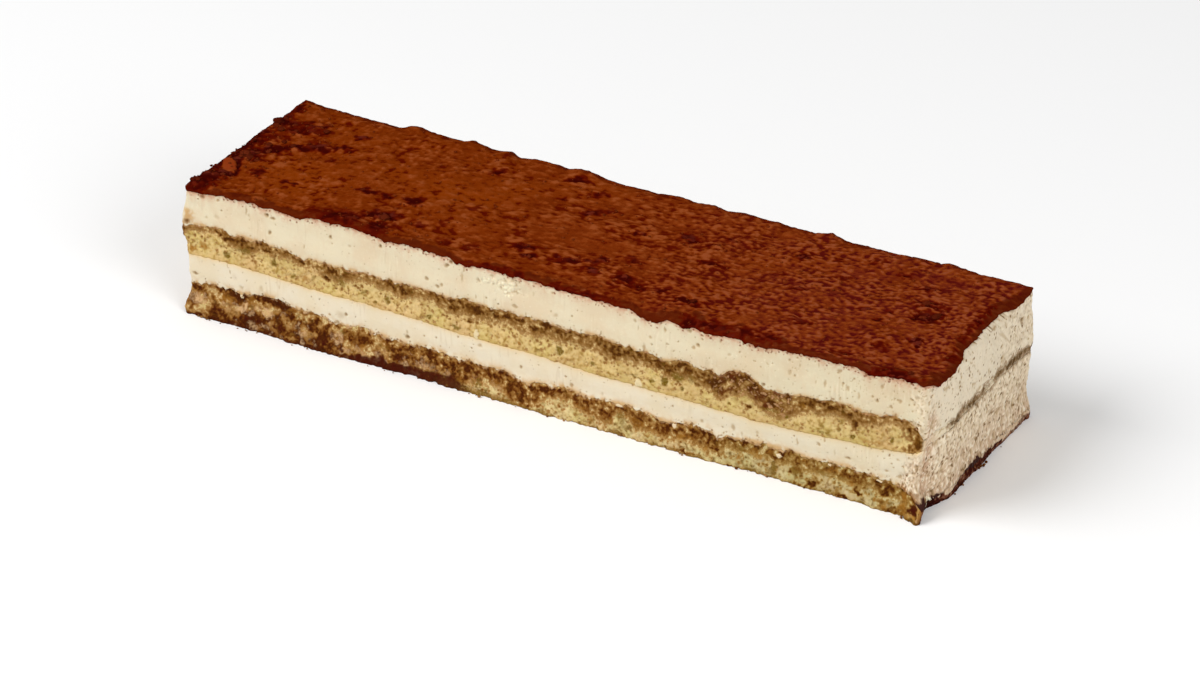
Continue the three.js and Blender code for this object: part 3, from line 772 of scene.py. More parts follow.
def sponge_relief(low, seed):
    widths = FINGERS_LOW if low else FINGERS_HIGH

    def relief(x, y, z, zl, zh, nx, ny):
        front, nose = clamp01(-ny) ** 2, clamp01(nx) ** 2
        above, below = zh - z, z - zl
        q = (x, y, z)
        along = x * np.abs(ny) + y * np.abs(nx)
        # sizes of unevenness, and crumb grains
        n0, n1 = noise(*q, 10.5, seed), noise(*q, 5.6, seed + 1)
        n2, n3 = noise(*q, 2.8, seed + 2), noise(*q, 1.4, seed + 3)
        n4 = noise(*q, 0.95, seed + 12)
        d1, _, id1 = cells(*q, 1.3, seed + 4)
        d2, _, id2 = cells(*q, 2.1, seed + 5)
        g, g2 = share(id1, 5), share(id2, 5)
        dots = hump(d1, 0.66) * smooth(0.66, 0.86, g)
        blobs = hump(d2, 0.60) * smooth(0.72, 0.92, g2)
        # how deep the coffee reaches: as read on the cut side, made up elsewhere
        _, across = finger_at(widths, x, y, 0.7 if low else 2.1)
        own = 4.6 + 2.0 * noise(x, y, 0, 17, seed + 6) + 1.3 * noise(x, y, 0, 7, seed + 7)
        own = own + 4.0 * smooth(0.86, 1.0, np.abs(across))
        wet = 1 - smooth(-85, -45, x + 10 * noise(x, y, z, 20, seed + 8))  # soaked through
        if low:
            own = own + 12 * wet
        depth = own + front * (table(LOW_BAND if low else HIGH_BAND, x) - own)
        v = above + 1.6 * n1 + 2.2 * n2 + 2.0 * n3 + 1.0 * n4
        band = 1 - smooth(depth - 2.2, depth + 3.2, v)
        if low:
            mottle = wet * (0.36 * n0 + 0.70 * n1 + 0.62 * n2 + 0.36 * n3 + 0.2 * n4)
            mottle = mottle + (1 - wet) * (0.30 * n1 + 0.58 * n2 + 0.50 * n3 + 0.26 * n4)
            mean = 0.60
        else:
            mottle = 0.26 * n1 + 0.60 * n2 + 0.50 * n3 + 0.26 * n4
            mean = 0.54 + 0.05 * smooth(-95, -45, x) - 0.05 * smooth(-60, -30, x) * (1 - smooth(40, 70, x))
        soak = band * np.maximum(mean + mottle + 0.22 * dots, 0.18)
        stray = (1 - smooth(depth + 1.0, depth + 9.0, above)) * (1 - band)
        stray = np.maximum(stray, 0.46)
        soak = np.maximum(soak, (0.80 + 0.3 * n3) * stray * np.maximum(dots, blobs))
        paste, red = np.zeros_like(z), np.zeros_like(z)
        olive = smooth(0.12, 0.6, noise(*q, 3.6, seed + 9) + 0.6 * n3 - 0.12) * 0.36
        ochre = smooth(0.15, 0.6, noise(*q, 6.0, seed + 10) + 0.5 * n2 - 0.1) * 0.6
        if low:
            wet_front = front * (1 - smooth(-66, -36, x)) + (1 - front) * wet
            soak = soak - 0.08 * front * smooth(-10, 40, x) * (1 - band)
            blot = noise(*q, 7.0, seed + 11) + 0.7 * n2
            paste = wet_front * smooth(0.05, 0.6, blot) * smooth(3.0, 5.0, above) * 0.5
            paste = np.maximum(paste, front * spots(along, z, LOW_PASTE, seed + 20, 1.8))
            paste = paste * clamp01(0.85 + 0.8 * n2 + 0.8 * n3 - 0.3 * dots)
            dark = clamp01(1.12 * front * spots(along, z, LOW_DARK, seed + 30, 1.5))
            ochre = np.maximum(ochre, front * spots(along, z, LOW_OCHRE, seed + 40, 1.8))
            ochre = ochre * clamp01(0.85 + 1.0 * n3)
            paste = paste * (1 - 0.85 * dark)
            # darker along the top edge and toward the foot of the soaked end
            shade = front * smooth(-172, -166, x) * (1 - smooth(-126, -118, x))
            soak = soak + 0.26 * shade * (1 - smooth(0.8, 2.4, above + 0.8 * n1))
            shade = front * smooth(-168, -160, x) * (1 - smooth(-106, -96, x))
            soak = soak + 0.20 * shade * (1 - smooth(4.5, 8.5, z + 1.8 * n1))
            # the reddish, fully soaked base
            reddest = smooth(-104, -80, x + 5 * n0) * (1 - smooth(-42, -28, x))
            thick = 1.5 + 1.6 * n1 + front * (2.8 * reddest - 0.6 * smooth(-20, 10, x))
            base = 1 - smooth(thick - 1.2, thick + 1.5, below + 1.2 * n2 + 0.8 * n3)
            red = base * (0.55 * wet_front * (1 - front) + front * (0.9 * reddest + 0.45 * wet_front))
            red = np.maximum(red, 0.7 * wet_front * dark * (1.0 - smooth(5, 11, below)))
            red = red * clamp01(0.95 + 0.6 * n3)
            soak = np.maximum(soak, base * (0.30 + 0.6 * wet_front))
            # a dark line along the very foot: painted contact shadow, in soaked crumb's colours
            line = wet_front * (1 - smooth(0.4, 2.6, z + 1.4 * n2 + 1.0 * n3))
            soak = np.maximum(soak, line * (0.85 + 0.5 * n3))
            red = np.maximum(red, 0.55 * line * front)
            # the squashed toe at the foot of the front corner
            toe = clamp01(front + nose) * smooth(166.5, 170.5, x + 1.2 * n2)
            toe = toe * (1 - smooth(-46, -43, y)) * (1 - smooth(5.5, 9.0, z + 1.2 * n1))
            rind = 1 - smooth(0.5, 1.8, z + 0.8 * n2)
            soak = soak * (1 - toe) + toe * (0.30 + 0.4 * n2 + 0.5 * n3 + 0.6 * rind)
            soak = np.maximum(soak, dark * (1.22 + 0.4 * n2 + 0.5 * n3))
            red = np.maximum(red, 0.85 * dark * smooth(166, 169, x))
            turn = front * smooth(160, 167, x + 2.5 * n1) * (1 - 0.9 * toe)
            soak = np.maximum(soak, turn * (0.62 + 0.7 * n1 + 0.7 * n2 + 0.5 * n3))
            ochre = np.maximum(ochre, turn * clamp01(0.5 + 1.2 * n2))
            ochre = np.maximum(ochre, 0.8 * toe * (1 - dark) * (1 - 0.6 * rind))
            paste = np.maximum(paste, 0.5 * toe * smooth(-0.1, 0.4, n2 + n3) * (1 - dark) * (1 - rind))
            far_right = front * smooth(66, 96, x)
            olive = np.maximum(0.8 * olive, 0.5 * base * (1 - wet_front) * front)
            listed = front * spots(along, z, LOW_OLIVE, seed + 50, 1.6)
            olive = np.maximum(olive, listed) * (1 - dark)
            mess = far_right * smooth(0.22, 0.62, noise(*q, 4.6, seed + 13) + 0.6 * n2 - 0.05)
            soak = np.maximum(soak, mess * (0.50 + 0.5 * n3))
            grey = front * (0.3 * smooth(10, 60, x) + 0.7 * smooth(66, 96, x))
            sole = np.zeros_like(z)
        else:
            dark = clamp01(1.3 * front * spots(along, z, HIGH_DARK, seed + 30, 1.2))
            wrap = front * smooth(161, 169, x + 3.0 * n1 + 2.0 * n2 + 0.25 * (z - 34))
            soak = np.maximum(soak, wrap * (0.60 + 0.6 * n1 + 0.7 * n2 + 0.6 * n3))
            soak = np.maximum(soak, dark * (1.12 + 0.4 * n2 + 0.6 * n3))
            redder = smooth(72, 84, x) * (1 - smooth(112, 118, x))
            red = front * (0.62 * redder + 0.05) * band * smooth(-0.3, 0.5, n1 + n2)
            paste = front * 0.62 * redder * band * smooth(0.05, 0.32, n3 + 0.5 * n4) * (1 - dots)
            red = red * (1 - paste)
            listed = front * spots(along, z, HIGH_OLIVE, seed + 50, 1.0)
            olive = np.maximum(olive * (0.5 + 0.5 * band), listed) * (1 - dark)
            ochre = np.maximum(0.35 * ochre, 1.15 * front * spots(along, z, HIGH_OCHRE, seed + 40, 1.3))
            grey = clamp01(0.15 + 0.65 * smooth(-40, 110, x) + 0.5 * n0)
            sole = 1 - smooth(0.3, 3.2, below + 1.2 * n2)
        # cream smeared over the crumb: bits on the cut side, most of the nose end
        bits = front * spots(along, z, CREAM_BITS, seed + 60, 0.6)
        coat = 0.95 * smooth(0.22, 0.58, bits)
        # a film of cream dragged down over the crumb's upper edge
        film = (1 - smooth(0.1, 1.7, above + 0.6 * n3)) * clamp01(0.60 + 0.9 * n2)
        if low:
            dark_foot = end_foot(y, z) + 1.3 * n2 + 0.9 * n3
            end_bits = smooth(0.1, 0.3, nose) * spots(y, z, END_BITS, seed + 65, 0.7, 0.0)
            coat = np.maximum(coat, nose * smooth(-1.3, 1.3, z - dark_foot))
            coat = np.maximum(coat, smooth(0.25, 0.6, end_bits))
            rear = smooth(16, 26, y) * smooth(-0.35, 0.35, n2 + 0.7 * n3)
            coat = np.maximum(coat, nose * 0.45 * rear)
            wine = 0.45 + 0.8 * noise(0, y, z, 9, seed + 61) + 0.3 * smooth(-22, -12, y) * (1 - smooth(0, 8, y))
            # next to the corner the darkest foot is painted shadow over the soaked crumb
            black = 1 - smooth(-37, -30, y + 2.0 * n1)  # the foot is darkest next to the corner
            red = np.maximum(red, nose * wine * (1 - 0.7 * rear) * (1 - 0.8 * black))
            wetter = 0.62 + 0.6 * n2 + 0.8 * n3 + 0.5 * n4 - 0.2 * rear + 0.5 * black
            soak = soak * (1 - nose) + nose * (wetter * (1 - 0.7 * toe) + 0.3 * toe)
        else:
            line = 1.1 * noise(0, y, z, 6, seed + 62) + 0.9 * noise(0, y, z, 2.4, seed + 63)
            fade = 1 - smooth(-36, -27, y + 3 * noise(0, y, z, 5, seed + 64))
            grey_bit = smooth(2, 6, y) * (1 - smooth(11, 15, y))
            smeared = 0.92 * fade + 0.22 * smooth(-0.1, 0.6, line) + 0.26 * grey_bit + 0.10
            smeared = smeared + 0.35 * (1 - smooth(0.0, 1.1, np.minimum(above, below) + 0.6 * n3))
            coat = np.maximum(coat, nose * clamp01(smeared))
            lines = 0.50 + 0.7 * n2 + 0.6 * n3 + 0.30 * smooth(26, 31, y) * (1 - smooth(37, 40, y))
            soak = soak * (1 - nose) + nose * lines
            olive = olive * (1 - nose) + nose * 0.4 * smooth(-0.2, 0.4, n1)
            sole, ochre = sole * (1 - nose), ochre * (1 - nose)
        paste = np.maximum(paste, 0.70 * film * (1 - nose) * smooth(0.1, 0.5, soak))
        # relief: open crumb, smoother on the baked undersides and under smeared cream
        open_ = (1 - 0.6 * sole) * (1 - 0.85 * coat)
        big = pits(*q, 2.6, 0.12 + 0.2 * noise(*q, 14, seed + 70), seed + 71)
        mid = pits(*q, 1.6, 0.26 + 0.3 * noise(*q, 9, seed + 72), seed + 73)
        fine = pits(*q, 1.0, 0.40, seed + 74)
        lumps = 0.28 * hump(d1, 0.7) * (0.6 - g)
        out = 0.25 * noise(*q, 22, seed + 77) + open_ * (
            0.30 * n2 + 0.30 * n3 + 0.12 * n4 + lumps - 0.60 * big - 0.36 * mid - 0.22 * fine
            - 0.20 * olive - 0.22 * clamp01(soak)
        )
        out = out + 0.5 * bits
        if low:
            # the soaked foot is ragged and creeps out a little
            creep = 0.35 + 0.9 * noise(x, y, 0, 6, seed + 78) + 0.8 * noise(x, y, 0, 2.4, seed + 79)
            out = out + (1 - smooth(0, 2.4, z)) * creep * (1 - 0.7 * nose)
        # how much painted shade the shader lays in each pit
        pit = clamp01(open_ * (0.8 * big + 0.6 * mid + 0.35 * fine))
        return out, {
            "soak": clamp01(soak),
            "pit": pit,
            "tone": clamp01(0.5 - 0.30 * n1 - 0.42 * n2 - 0.66 * n3 - 0.45 * n4),
            "sole": clamp01(sole),
            "olive": clamp01(olive),
            "ochre": clamp01(ochre),
            "paste": clamp01(paste),
            "red": clamp01(red),
            "grey": clamp01(grey),
            "nose": nose,
            "coat": clamp01(coat),
            "deep": nose * end_warmth(y, z),
        }

    return relief


def end_foot(y, z):
    """Height of the soaked foot on the nose end."""
    return table(END_FOOT, y) + 1.2 * noise(0, y, z, 3.4, 161) + 0.9 * noise(0, y, z, 1.7, 162)


def end_warmth(y, z):
    """How much warmer and dimmer the smeared cream of the nose end is toward its foot."""
    low = 0.40 * (1 - smooth(14, 26, z)) + 0.38 * (1 - smooth(4.5, 12, z))
    left = (1 - smooth(-44, -34, y)) * (0.92 + 0.35 * smooth(36, 41, z) * (1 - smooth(41, 45, z)))
    left = left * (1 - smooth(44, 50, z))
    right = 0.35 * smooth(12, 24, y) * smooth(20, 26, 40 - np.abs(z - 20))
    return clamp01(np.maximum(low * (1 - 0.8 * right), left) + 0.18 * noise(0, y, z, 6.5, 163))


def cream_relief(low, seed):
    def relief(x, y, z, zl, zh, nx, ny):
        front, nose = clamp01(-ny) ** 2, clamp01(nx) ** 2
        q = (x, y, z)
        above, below = zh - z, z - zl
        # grainier, more porous cream on the nose end under the line of the noses, and round the
        # corner on the cut side
        porous = nose * (1 - smooth(31.5, 35.5, z + 1.8 * noise(*q, 7, seed + 1)))
        turn = smooth(159, 170, x + 6 * noise(*q, 6, seed + 2) - 0.45 * (z - 18))
        porous = np.maximum(porous, front * turn * (1 - smooth(24, 32, z)))
        porous = np.maximum(porous, 0.6 * front * smooth(166, 172, x + 4 * noise(*q, 4, seed + 3)))
        porous = np.maximum(porous, nose * 0.7 * (1 - smooth(-43, -35, y + 5 * noise(*q, 6, seed + 3))))
        porous = np.maximum(porous, nose * 0.5 * smooth(10, 26, y + 4 * noise(*q, 6, seed + 3)))
        porous = np.maximum(porous, nose * 0.20)
        right = smooth(30, 140, x)
        patch = smooth(-0.05, 0.35, noise(*q, 20, seed + 4))
        busy = clamp01((0.12 if low else 0.14) + 0.3 * patch + (0.25 if low else 0.60) * right)
        busy = busy * (1 - 0.4 * nose)
        n0, n1 = noise(*q, 3.8, seed + 38), noise(*q, 2.1, seed + 36)
        n2, n3 = noise(*q, 1.25, seed + 37), noise(*q, 0.9, seed + 39)
        big = pits(*q, 2.0, 0.02 * busy + 0.10 * porous, seed + 5)
        mid = pits(*q, 1.3, 0.07 * busy + 0.22 * porous, seed + 6)
        fine = pits(*q, 0.95, 0.12 * busy + 0.34 * porous, seed + 7)
        marks = front * spots(x, z, LOW_SPECKS if low else HIGH_SPECKS, seed + 10, 0.45, 0.9 if low else 0.6)
        marks = np.maximum(marks, nose * spots(y, z, END_SPECKS, seed + 20, 0.8, 0.0))
        # drag marks of the knife: upright on the cut side, slanting on the nose end
        slant = z + 1.1 * y
        drag = noise(x, y, z, 1.0, seed + 30, sz=8.0) * (1 - nose) + nose * noise(
            0, slant, z, 1.7, seed + 31, sz=12.0
        )
        drag = drag * smooth(-0.1, 0.5, noise(*q, 16, seed + 32) + 0.6 * nose * smooth(-5, 15, y))
        drag = drag * (1 - nose * (1 - smooth(35, 39, z)))
        slits = 0.7 * pits(x, y, z, 1.0, 0.04 * busy, seed + 33, sz=3.2)
        if not low:
            scratch = nose * smooth(10, 20, y) * smooth(41, 45, z)
            cuts = smooth(0.22, 0.50, noise(0, slant, z, 2.3, seed + 45, sz=15.0)) * scratch
            slits = np.maximum(slits, 0.55 * cuts)
        swell = 0.22 * noise(*q, 19, seed + 34) + 0.14 * noise(*q, 6.5, seed + 35)
        rough = porous * (0.20 * n0 + 0.30 * n1 + 0.34 * n2 + 0.22 * n3)
        # a rougher patch where the cream tore, with painted highlights on its raised bits and painted shade in its low
        # ones
        torn = np.zeros_like(z)
        if not low:
            far = np.hypot((x + 17.5) / 10.5, (z - 54.0) / 3.8) + 0.9 * n0 + 0.5 * n1
            torn = front * (1 - smooth(0.45, 1.0, far))
        rough = rough + torn * (0.45 * n1 + 0.55 * n2)
        out = (
            swell
            + 0.08 * drag
            + rough
            + 0.05 * n2
            - 0.60 * big
            - 0.36 * mid
            - 0.24 * fine
            - 0.22 * slits
            - 0.50 * marks
        )
        # how much painted shade the shader lays in the pits, slits and dented marks
        pit = clamp01(0.8 * big + 0.65 * mid + 0.5 * fine + 0.6 * slits + 0.95 * marks)
        grit, stain = np.zeros_like(z), np.zeros_like(z)
        d1, _, id1 = cells(*q, 1.1, seed + 46)
        bead = hump(d1, 0.7)
        chance = share(id1, 6)
        specks = np.zeros_like(z)
        # the coffee's stain over the sponge below
        deep_stain = 1.5 if low else 1.0
        rise = below + 0.8 * crumb_edge(x, y, 11 if low else 31, 2.2)
        seep = (0.95 if low else 0.85) * np.exp(-np.clip(rise - 0.3, 0, 30) / deep_stain)
        seep = (1 - nose) * seep * clamp01(0.70 + 1.5 * n0 + 1.0 * n1)
        dust = np.zeros_like(z)
        if not low:
            # cocoa that the knife dragged down below the rim's line
            line = (above - 0.5) * (1 - front - nose) + front * (table(FRONT_RIM, x) - z)
            line = line + nose * (table(END_RIM, y) - z)
            reach = 1.35 + 1.9 * noise(x, y, 0, 9, seed + 42) + 1.7 * noise(x, y, 0, 2.2, seed + 41)
            reach = np.clip(reach + 0.4 * right, 0.35, 4.0) * (1 - 0.45 * nose)
            dust = 0.95 * np.exp(-np.clip(line - 0.5, 0, 30) / reach) * clamp01(0.85 + 0.9 * n1 + 0.9 * n2)
            many = 0.30 * (1 - smooth(0.8, 3.6, line)) * (0.5 + 0.5 * right + 1.3 * np.abs(noise(x, y, 0, 8, seed + 43)))
            specks = bead * (chance < many) * (1 - 0.5 * nose)
            # crumb caught along the sponge below
            grit = bead * (chance > 0.6) * (1 - smooth(0.3, 2.2, below + 1.6 * n0))
            side = front * (1 - smooth(-171.5, -167.5, x + 3 * n1)) * smooth(42.5, 44.5, z) * (1 - smooth(49, 52, z))
            seep = np.maximum(seep, side * clamp01(0.85 + n1))
            under = 1 - smooth(0.3, 2.6, below + 1.4 * n1 + n2)
            grit = np.maximum(grit, nose * 0.75 * under * smooth(-34, -26, y))
        else:
            # the dark foot of the nose end reaches over the cream in places
            end_bits = smooth(0.1, 0.3, nose) * spots(y, z, END_BITS, seed + 65, 0.7, 0.0)
            # where the dark foot rises next to the front corner the stain is painted shadow
            stain = nose * (1 - smooth(-1.0, 1.0, z - end_foot(y, z) + 1.2 * n1))
            curl = smooth(0.25, 0.55, end_bits)
            stain = stain * (1 - curl)
            # the curled bits get the torn patch's painted highlights and shade
            torn = curl
            n1 = n1 + 0.5 * curl
            out = out + 0.7 * curl
            grit = nose * (1 - smooth(0.0, 5.0, z - end_foot(y, z) + 2.2 * n1)) * (0.42 + 1.3 * n2)
            grit = grit * (1 - curl)
            grit = np.maximum(grit, bead * (chance > 0.62) * (1 - smooth(0.3, 2.4, below + 1.8 * n0)))
            smear = front * smooth(160, 167, x) * (1 - smooth(0.5, 4.0, below))
            grit = np.maximum(grit, smear * (0.35 + 1.2 * n1))
            over = 1 - smooth(0.3, 2.2, above + 1.4 * n1 + n2)
            grit = np.maximum(grit, nose * 0.65 * over * smooth(-34, -26, y))
            # soaked crumb squeezed up the foot of the front corner
            corner = clamp01(front + nose) * smooth(168.5, 171.5, x + n1)
            corner = corner * (1 - smooth(-45.5, -43, y + n1))
            stain = np.maximum(stain, corner * (1 - smooth(6.8, 8.6, z + 1.2 * n1)))
            squeezed = corner * (1 - smooth(9.5, 13.0, z + 1.6 * n1))
            grit = np.maximum(grit, squeezed * (0.62 + 0.9 * n2))
        # scattered brown specks where the cream is grainy
        patch = smooth(-0.2, 0.3, noise(0, y, z, 8, seed + 48))
        many = 0.84 + 0.06 * (1 - nose) + nose * (0.07 - 0.13 * patch)
        d4, _, id4 = cells(*q, 1.7, seed + 49)
        fleck = hump(d1, 0.60) * (chance > many + 0.05)
        fleck = np.maximum(fleck, hump(d4, 0.56) * (share(id4, 7) > many + 0.06))
        fleck = fleck * np.maximum(porous, 0.8 * nose)
        few = hump(d1, 0.45) * (chance > 0.972 - 0.012 * right) * (1 - porous)
        # tone shares the relief's noise, so what the shader paints from it is highlight and shade
        return out, {
            "pit": pit,
            "dust": clamp01(dust),
            "grit": clamp01(np.maximum(np.maximum(grit, 1.25 * fleck), 0.7 * few)),
            "specks": clamp01(specks),
            "fleck": clamp01(fleck),
            "seep": clamp01(seep),
            "yolk": clamp01(np.exp(-above / 1.1) * (1 - nose)) if low else np.zeros_like(z),
            "porous": clamp01(porous),
            "tone": clamp01(0.5 + 0.5 * n1 + 0.8 * n2 + 0.5 * n3),
            "streak": clamp01(0.5 + 0.9 * drag),
            "stain": clamp01(stain),
            "torn": clamp01(torn),
            "deep": clamp01(nose * end_warmth(y, z) + 0.35 * front * turn * (1 - smooth(24, 32, z))),
            "nose": nose,
        }

    return relief


def rim_round(x, y):
    """Radius of the cream's rounded top rim: larger on the nose end."""
    return 0.9 + 1.9 * smooth(HX - 6, HX - 1, x) * smooth(-30, -16, y) * (1 - smooth(24, 32, y))


# ---- the cocoa ------------------------------------------------------------------------------
# dark, damp or heaped places on the top: x, y, radius along, radius across, turn in degrees,
# darkness, height
PATCHES = (
    (-174, 0, 4.8, 48, 0, 1.0, 0.2), (-171, -38, 8.0, 11, 0, 1.0, 1.3),
    (-165, 20, 9.0, 7.0, 0, 0.54, 0.1), (-154, 22, 8.0, 5.0, 10, 0.5, 0.3),
    (-148, 15, 7.0, 3.6, 30, 0.28, 0.3), (-163, 8, 6.0, 5.0, 0, 0.55, 0.3),
    (-168, -12, 4.0, 8.0, 0, 0.7, 0.3),
    (-166, -31, 4.0, 4.0, 0, 0.84, 0.5), (-172, 38, 3.5, 6.0, 0, 0.73, 0.5),
    (-166, 24, 7.5, 4.0, 5, 0.78, 0.2), (-155, 27, 6.0, 2.4, 8, 0.88, 0.6),
    (-148, 25, 4.0, 2.3, -10, 0.57, 0.5), (-160, 17.5, 7.0, 2.8, 10, 0.7, 0.3),
    (-170, 12, 4.0, 6.0, 0, 0.53, 0.5), (-171, 3, 4.5, 5.0, 0, 0.84, 0.6),
    (-159, -1, 7.0, 3.4, 35, 1.0, 0.9), (-151, 5, 7.0, 2.8, 32, 1.06, 0.9),
    (-143, 11, 5.0, 3.4, 40, 0.95, 0.9), (-135, 14.5, 5.5, 2.3, 28, 0.75, 0.7),
    (-146, 15.5, 3.0, 2.3, 40, 0.26, 0.5), (-164, -8, 5.0, 4.0, 0, 0.9, 0.5),
    (-160, -12, 3.0, 3.0, 0, 0.80, 0.3), (-154, -22, 3.0, 4.5, 0, 0.71, 0.4),
    (-150, -26, 2.0, 2.0, 0, 0.5, 0.2), (-133, 28, 4.2, 1.9, 15, 0.93, 0.3),
    (-133, 3, 2.2, 2.8, 0, 0.6, 0.2), (-137, -22, 3.0, 1.7, 20, 0.85, 0.1),
    (-145, 38, 4.0, 3.0, 0, 0.18, 0.2), (-104, -13.5, 4.6, 2.6, 10, 0.95, 0.4),
    (-95, -13, 3.2, 2.3, 0, 0.77, 0.3), (-83, -12, 4.6, 4.0, 30, 1.0, 0.2),
    (-87, -29, 7.5, 4.6, 15, 1.11, 0.5), (-100, -37, 12, 4.6, 8, 0.73, 0.7),
    (-84, -39, 6.0, 6.0, 0, 0.70, 0.6), (-78, -35, 4.0, 4.0, 0, 0.59, 0.3),
    (-112, -40, 8.0, 4.0, 0, 0.44, 0.4), (-92, -44, 8.0, 3.0, 0, 0.6, 0.3),
    (-66, 30, 3.2, 4.6, -30, 0.64, 0.2), (-70, -28, 5.0, 2.6, 0, 0.70, 0.1),
    (-62, -22, 3.0, 3.0, 0, 0.45, 0.1), (-57, -4, 4.0, 3.6, 0, 0.45, 0.1),
    (-33, 39, 5.2, 2.8, 15, 0.73, 0.2), (-17, 32, 2.8, 2.8, 0, 0.59, 0.1),
    (-22, 30, 3.0, 1.8, 30, 0.37, 0.1), (-29, 21, 2.4, 2.0, 0, 0.65, 0.1),
    (-13, 17, 4.0, 2.6, 30, 0.94, 0.1), (-6, 20.5, 3.8, 2.0, 20, 0.65, 0.1),
    (-52, -36, 6.0, 4.2, 0, 0.5, 0.1), (-41, -35, 4.4, 4.6, 0, 0.56, 0.1),
    (-22, -24, 5.0, 2.0, -15, 0.79, 0.2), (-17, -30, 3.8, 2.7, 0, 1.03, 0.2),
    (0, -24, 4.6, 3.2, 30, 0.9, 0.2), (-7, -23, 1.8, 1.8, 0, 0.54, 0.1),
    (-4, -28, 4.0, 2.2, 10, 0.6, 0.1), (11, -18, 2.8, 3.3, 40, 0.94, 0.1),
    (8, -22, 4.0, 1.8, 20, 0.82, 0.1), (13, -29, 3.1, 2.6, 0, 1.01, 0.1),
    (26, -28, 5.6, 3.0, -5, 0.89, 0.2), (34, -31, 4.0, 2.6, 20, 0.65, 0.1),
    (25, -34, 3.0, 2.6, 0, 0.63, 0.1), (23, -12, 5.0, 2.7, -20, 0.66, 0.1),
    (32, 17, 4.6, 3.3, -25, 0.86, -0.1), (35, 14.5, 3.0, 1.8, -20, 0.7, -0.2),
    (14, 10, 2.0, 2.3, 0, 0.85, 0.1), (45, 15, 5.0, 4.0, 0, 0.41, 0.1),
    (49, 24, 2.4, 2.3, 0, 0.76, 0.1), (52, 1, 5.6, 3.3, 0, 0.66, 0.1),
    (10, 3, 5.0, 3.0, 0, 0.35, 0.0), (44, -29, 3.0, 2.0, 0, 0.80, 0.1),
    (58, -32, 6.0, 2.8, 8, 1.0, 0.2), (62, 23, 4.0, 3.6, 0, 0.45, 0.1),
    (62, 5, 4.0, 3.0, 0, 0.4, 0.1), (80, 7, 3.0, 1.9, 0, 0.41, 0.0),
    (94, 0, 2.8, 2.3, 0, 0.80, 0.1), (82, 24, 4.2, 3.0, 25, 1.0, 0.1),
    (96, 28, 4.0, 1.9, 30, 0.60, 0.1), (104, 17, 4.0, 2.3, 20, 0.51, 0.1),
    (110, 35, 4.0, 2.8, 0, 0.53, 0.1), (147, 3, 6.4, 4.4, 25, 1.0, -0.4), (147, 13, 6.0, 3.0, 10, 0.6, 0.1),
    (151, 8, 2.8, 4.6, 0, 0.86, -0.2), (142, 12, 4.0, 2.8, 0, 0.7, 0.2),
    (132, -1, 2.8, 2.8, 0, 0.67, 0.1), (131, -8.5, 2.8, 1.7, 0, 0.88, 0.1),
    (124, -2.5, 2.4, 1.9, 0, 0.94, 0.1), (138, 25, 3.6, 2.8, 30, 0.85, 0.1),
    (125, 30, 2.8, 2.8, 0, 0.7, 0.1), (154, -18, 2.4, 3.6, 0, 1.09, 0.1),
    (105, -24, 5.0, 2.4, -10, 0.73, 0.1), (142, -28, 5.0, 4.0, 0, 0.47, 0.1),
    (131, -40, 4.0, 2.8, 0, 0.65, 0.1), (170, 12, 2.6, 4.6, 0, 0.75, 0.2),
    (171, 20, 2.0, 6.0, 0, 0.6, 0.1), (171, -2, 2.4, 9.0, 0, 0.53, 0.1), (172, -20, 2.6, 7.0, 0, 0.5, 0.1), (158, -44, 9.0, 2.8, 8, 0.9, 0.2),
    (150, -46, 5.0, 2.8, 0, 0.7, 0.0), (100, -43, 6.0, 3.6, 0, 0.72, 0.1),
    (75, -45, 14, 3.6, 0, 0.75, 0.2), (90, -44, 10, 4.6, 0, 0.59, 0.2),
    (66, -47, 4.0, 2.8, 0, 0.85, 0.1), (15, -46, 24, 2.2, 0, 0.6, 0.0),
    (-20, -46, 20, 2.0, 0, 0.6, 0.0),
)  # fmt: skip
# lighter stretches of the top: x, y, reach along and across, strength
FAIR = (
    (-136, -14, 17, 15, 0.8), (-138, -30, 12, 8, 0.5), (-66, 3, 19, 9, 0.75),
    (-102, 9, 24, 9, 0.45), (-54, 20, 14, 9, 0.5), (-78, -8, 12, 8, 0.35), (72, -30, 16, 9, 0.35),
    (-130, 32, 26, 11, 0.25), (-20, 38, 14, 9, 0.3), (95, 30, 24, 10, 0.3), (70, 12, 12, 7, 0.3),
    (30, -6, 12, 8, 0.2), (-60, -14, 14, 8, 0.2),
)  # fmt: skip
SLAB = (-168.0, -22.0, 6.6, 3.2, -58)  # a pressed flake of lighter cocoa on the heaped end
# how wide the darker cocoa is along the cut side's rim
DARK_RIM = (
    (-175, 8), (-160, 2.6), (-120, 2.6), (-100, 6), (-80, 5), (-60, 2.6), (0, 3.2), (50, 3.6),
    (60, 7), (105, 7), (112, 3.2), (145, 2.6), (152, 5.5), (166, 4.5), (175, 3.6),
)  # fmt: skip


def cocoa_inset(x, y):
    """How far the cocoa stops short of the nose end, along X."""
    bare = 3.0 * smooth(-20, -12, y) * (1 - smooth(24, 32, y))
    proud = 1.2 * smooth(-46, -41, y) * (1 - smooth(-30, -22, y))
    ragged = 0.6 * noise(0, y, 0, 5, 71) + 0.4 * noise(0, y, 0, 2.2, 72)
    return (bare - proud + ragged + 0.2) * smooth(HX - 24, HX - 1, x)


def as_seen(x, y):
    """Where a point of the cocoa shows in the picture's plane at 60 mm, in which the places of
    the patches were read: the higher it lies, the farther back it shows."""
    up = cream_top_smooth(x, y) + COCOA_THICKNESS - 60.0
    return x - 0.90 * up, y + 1.60 * up


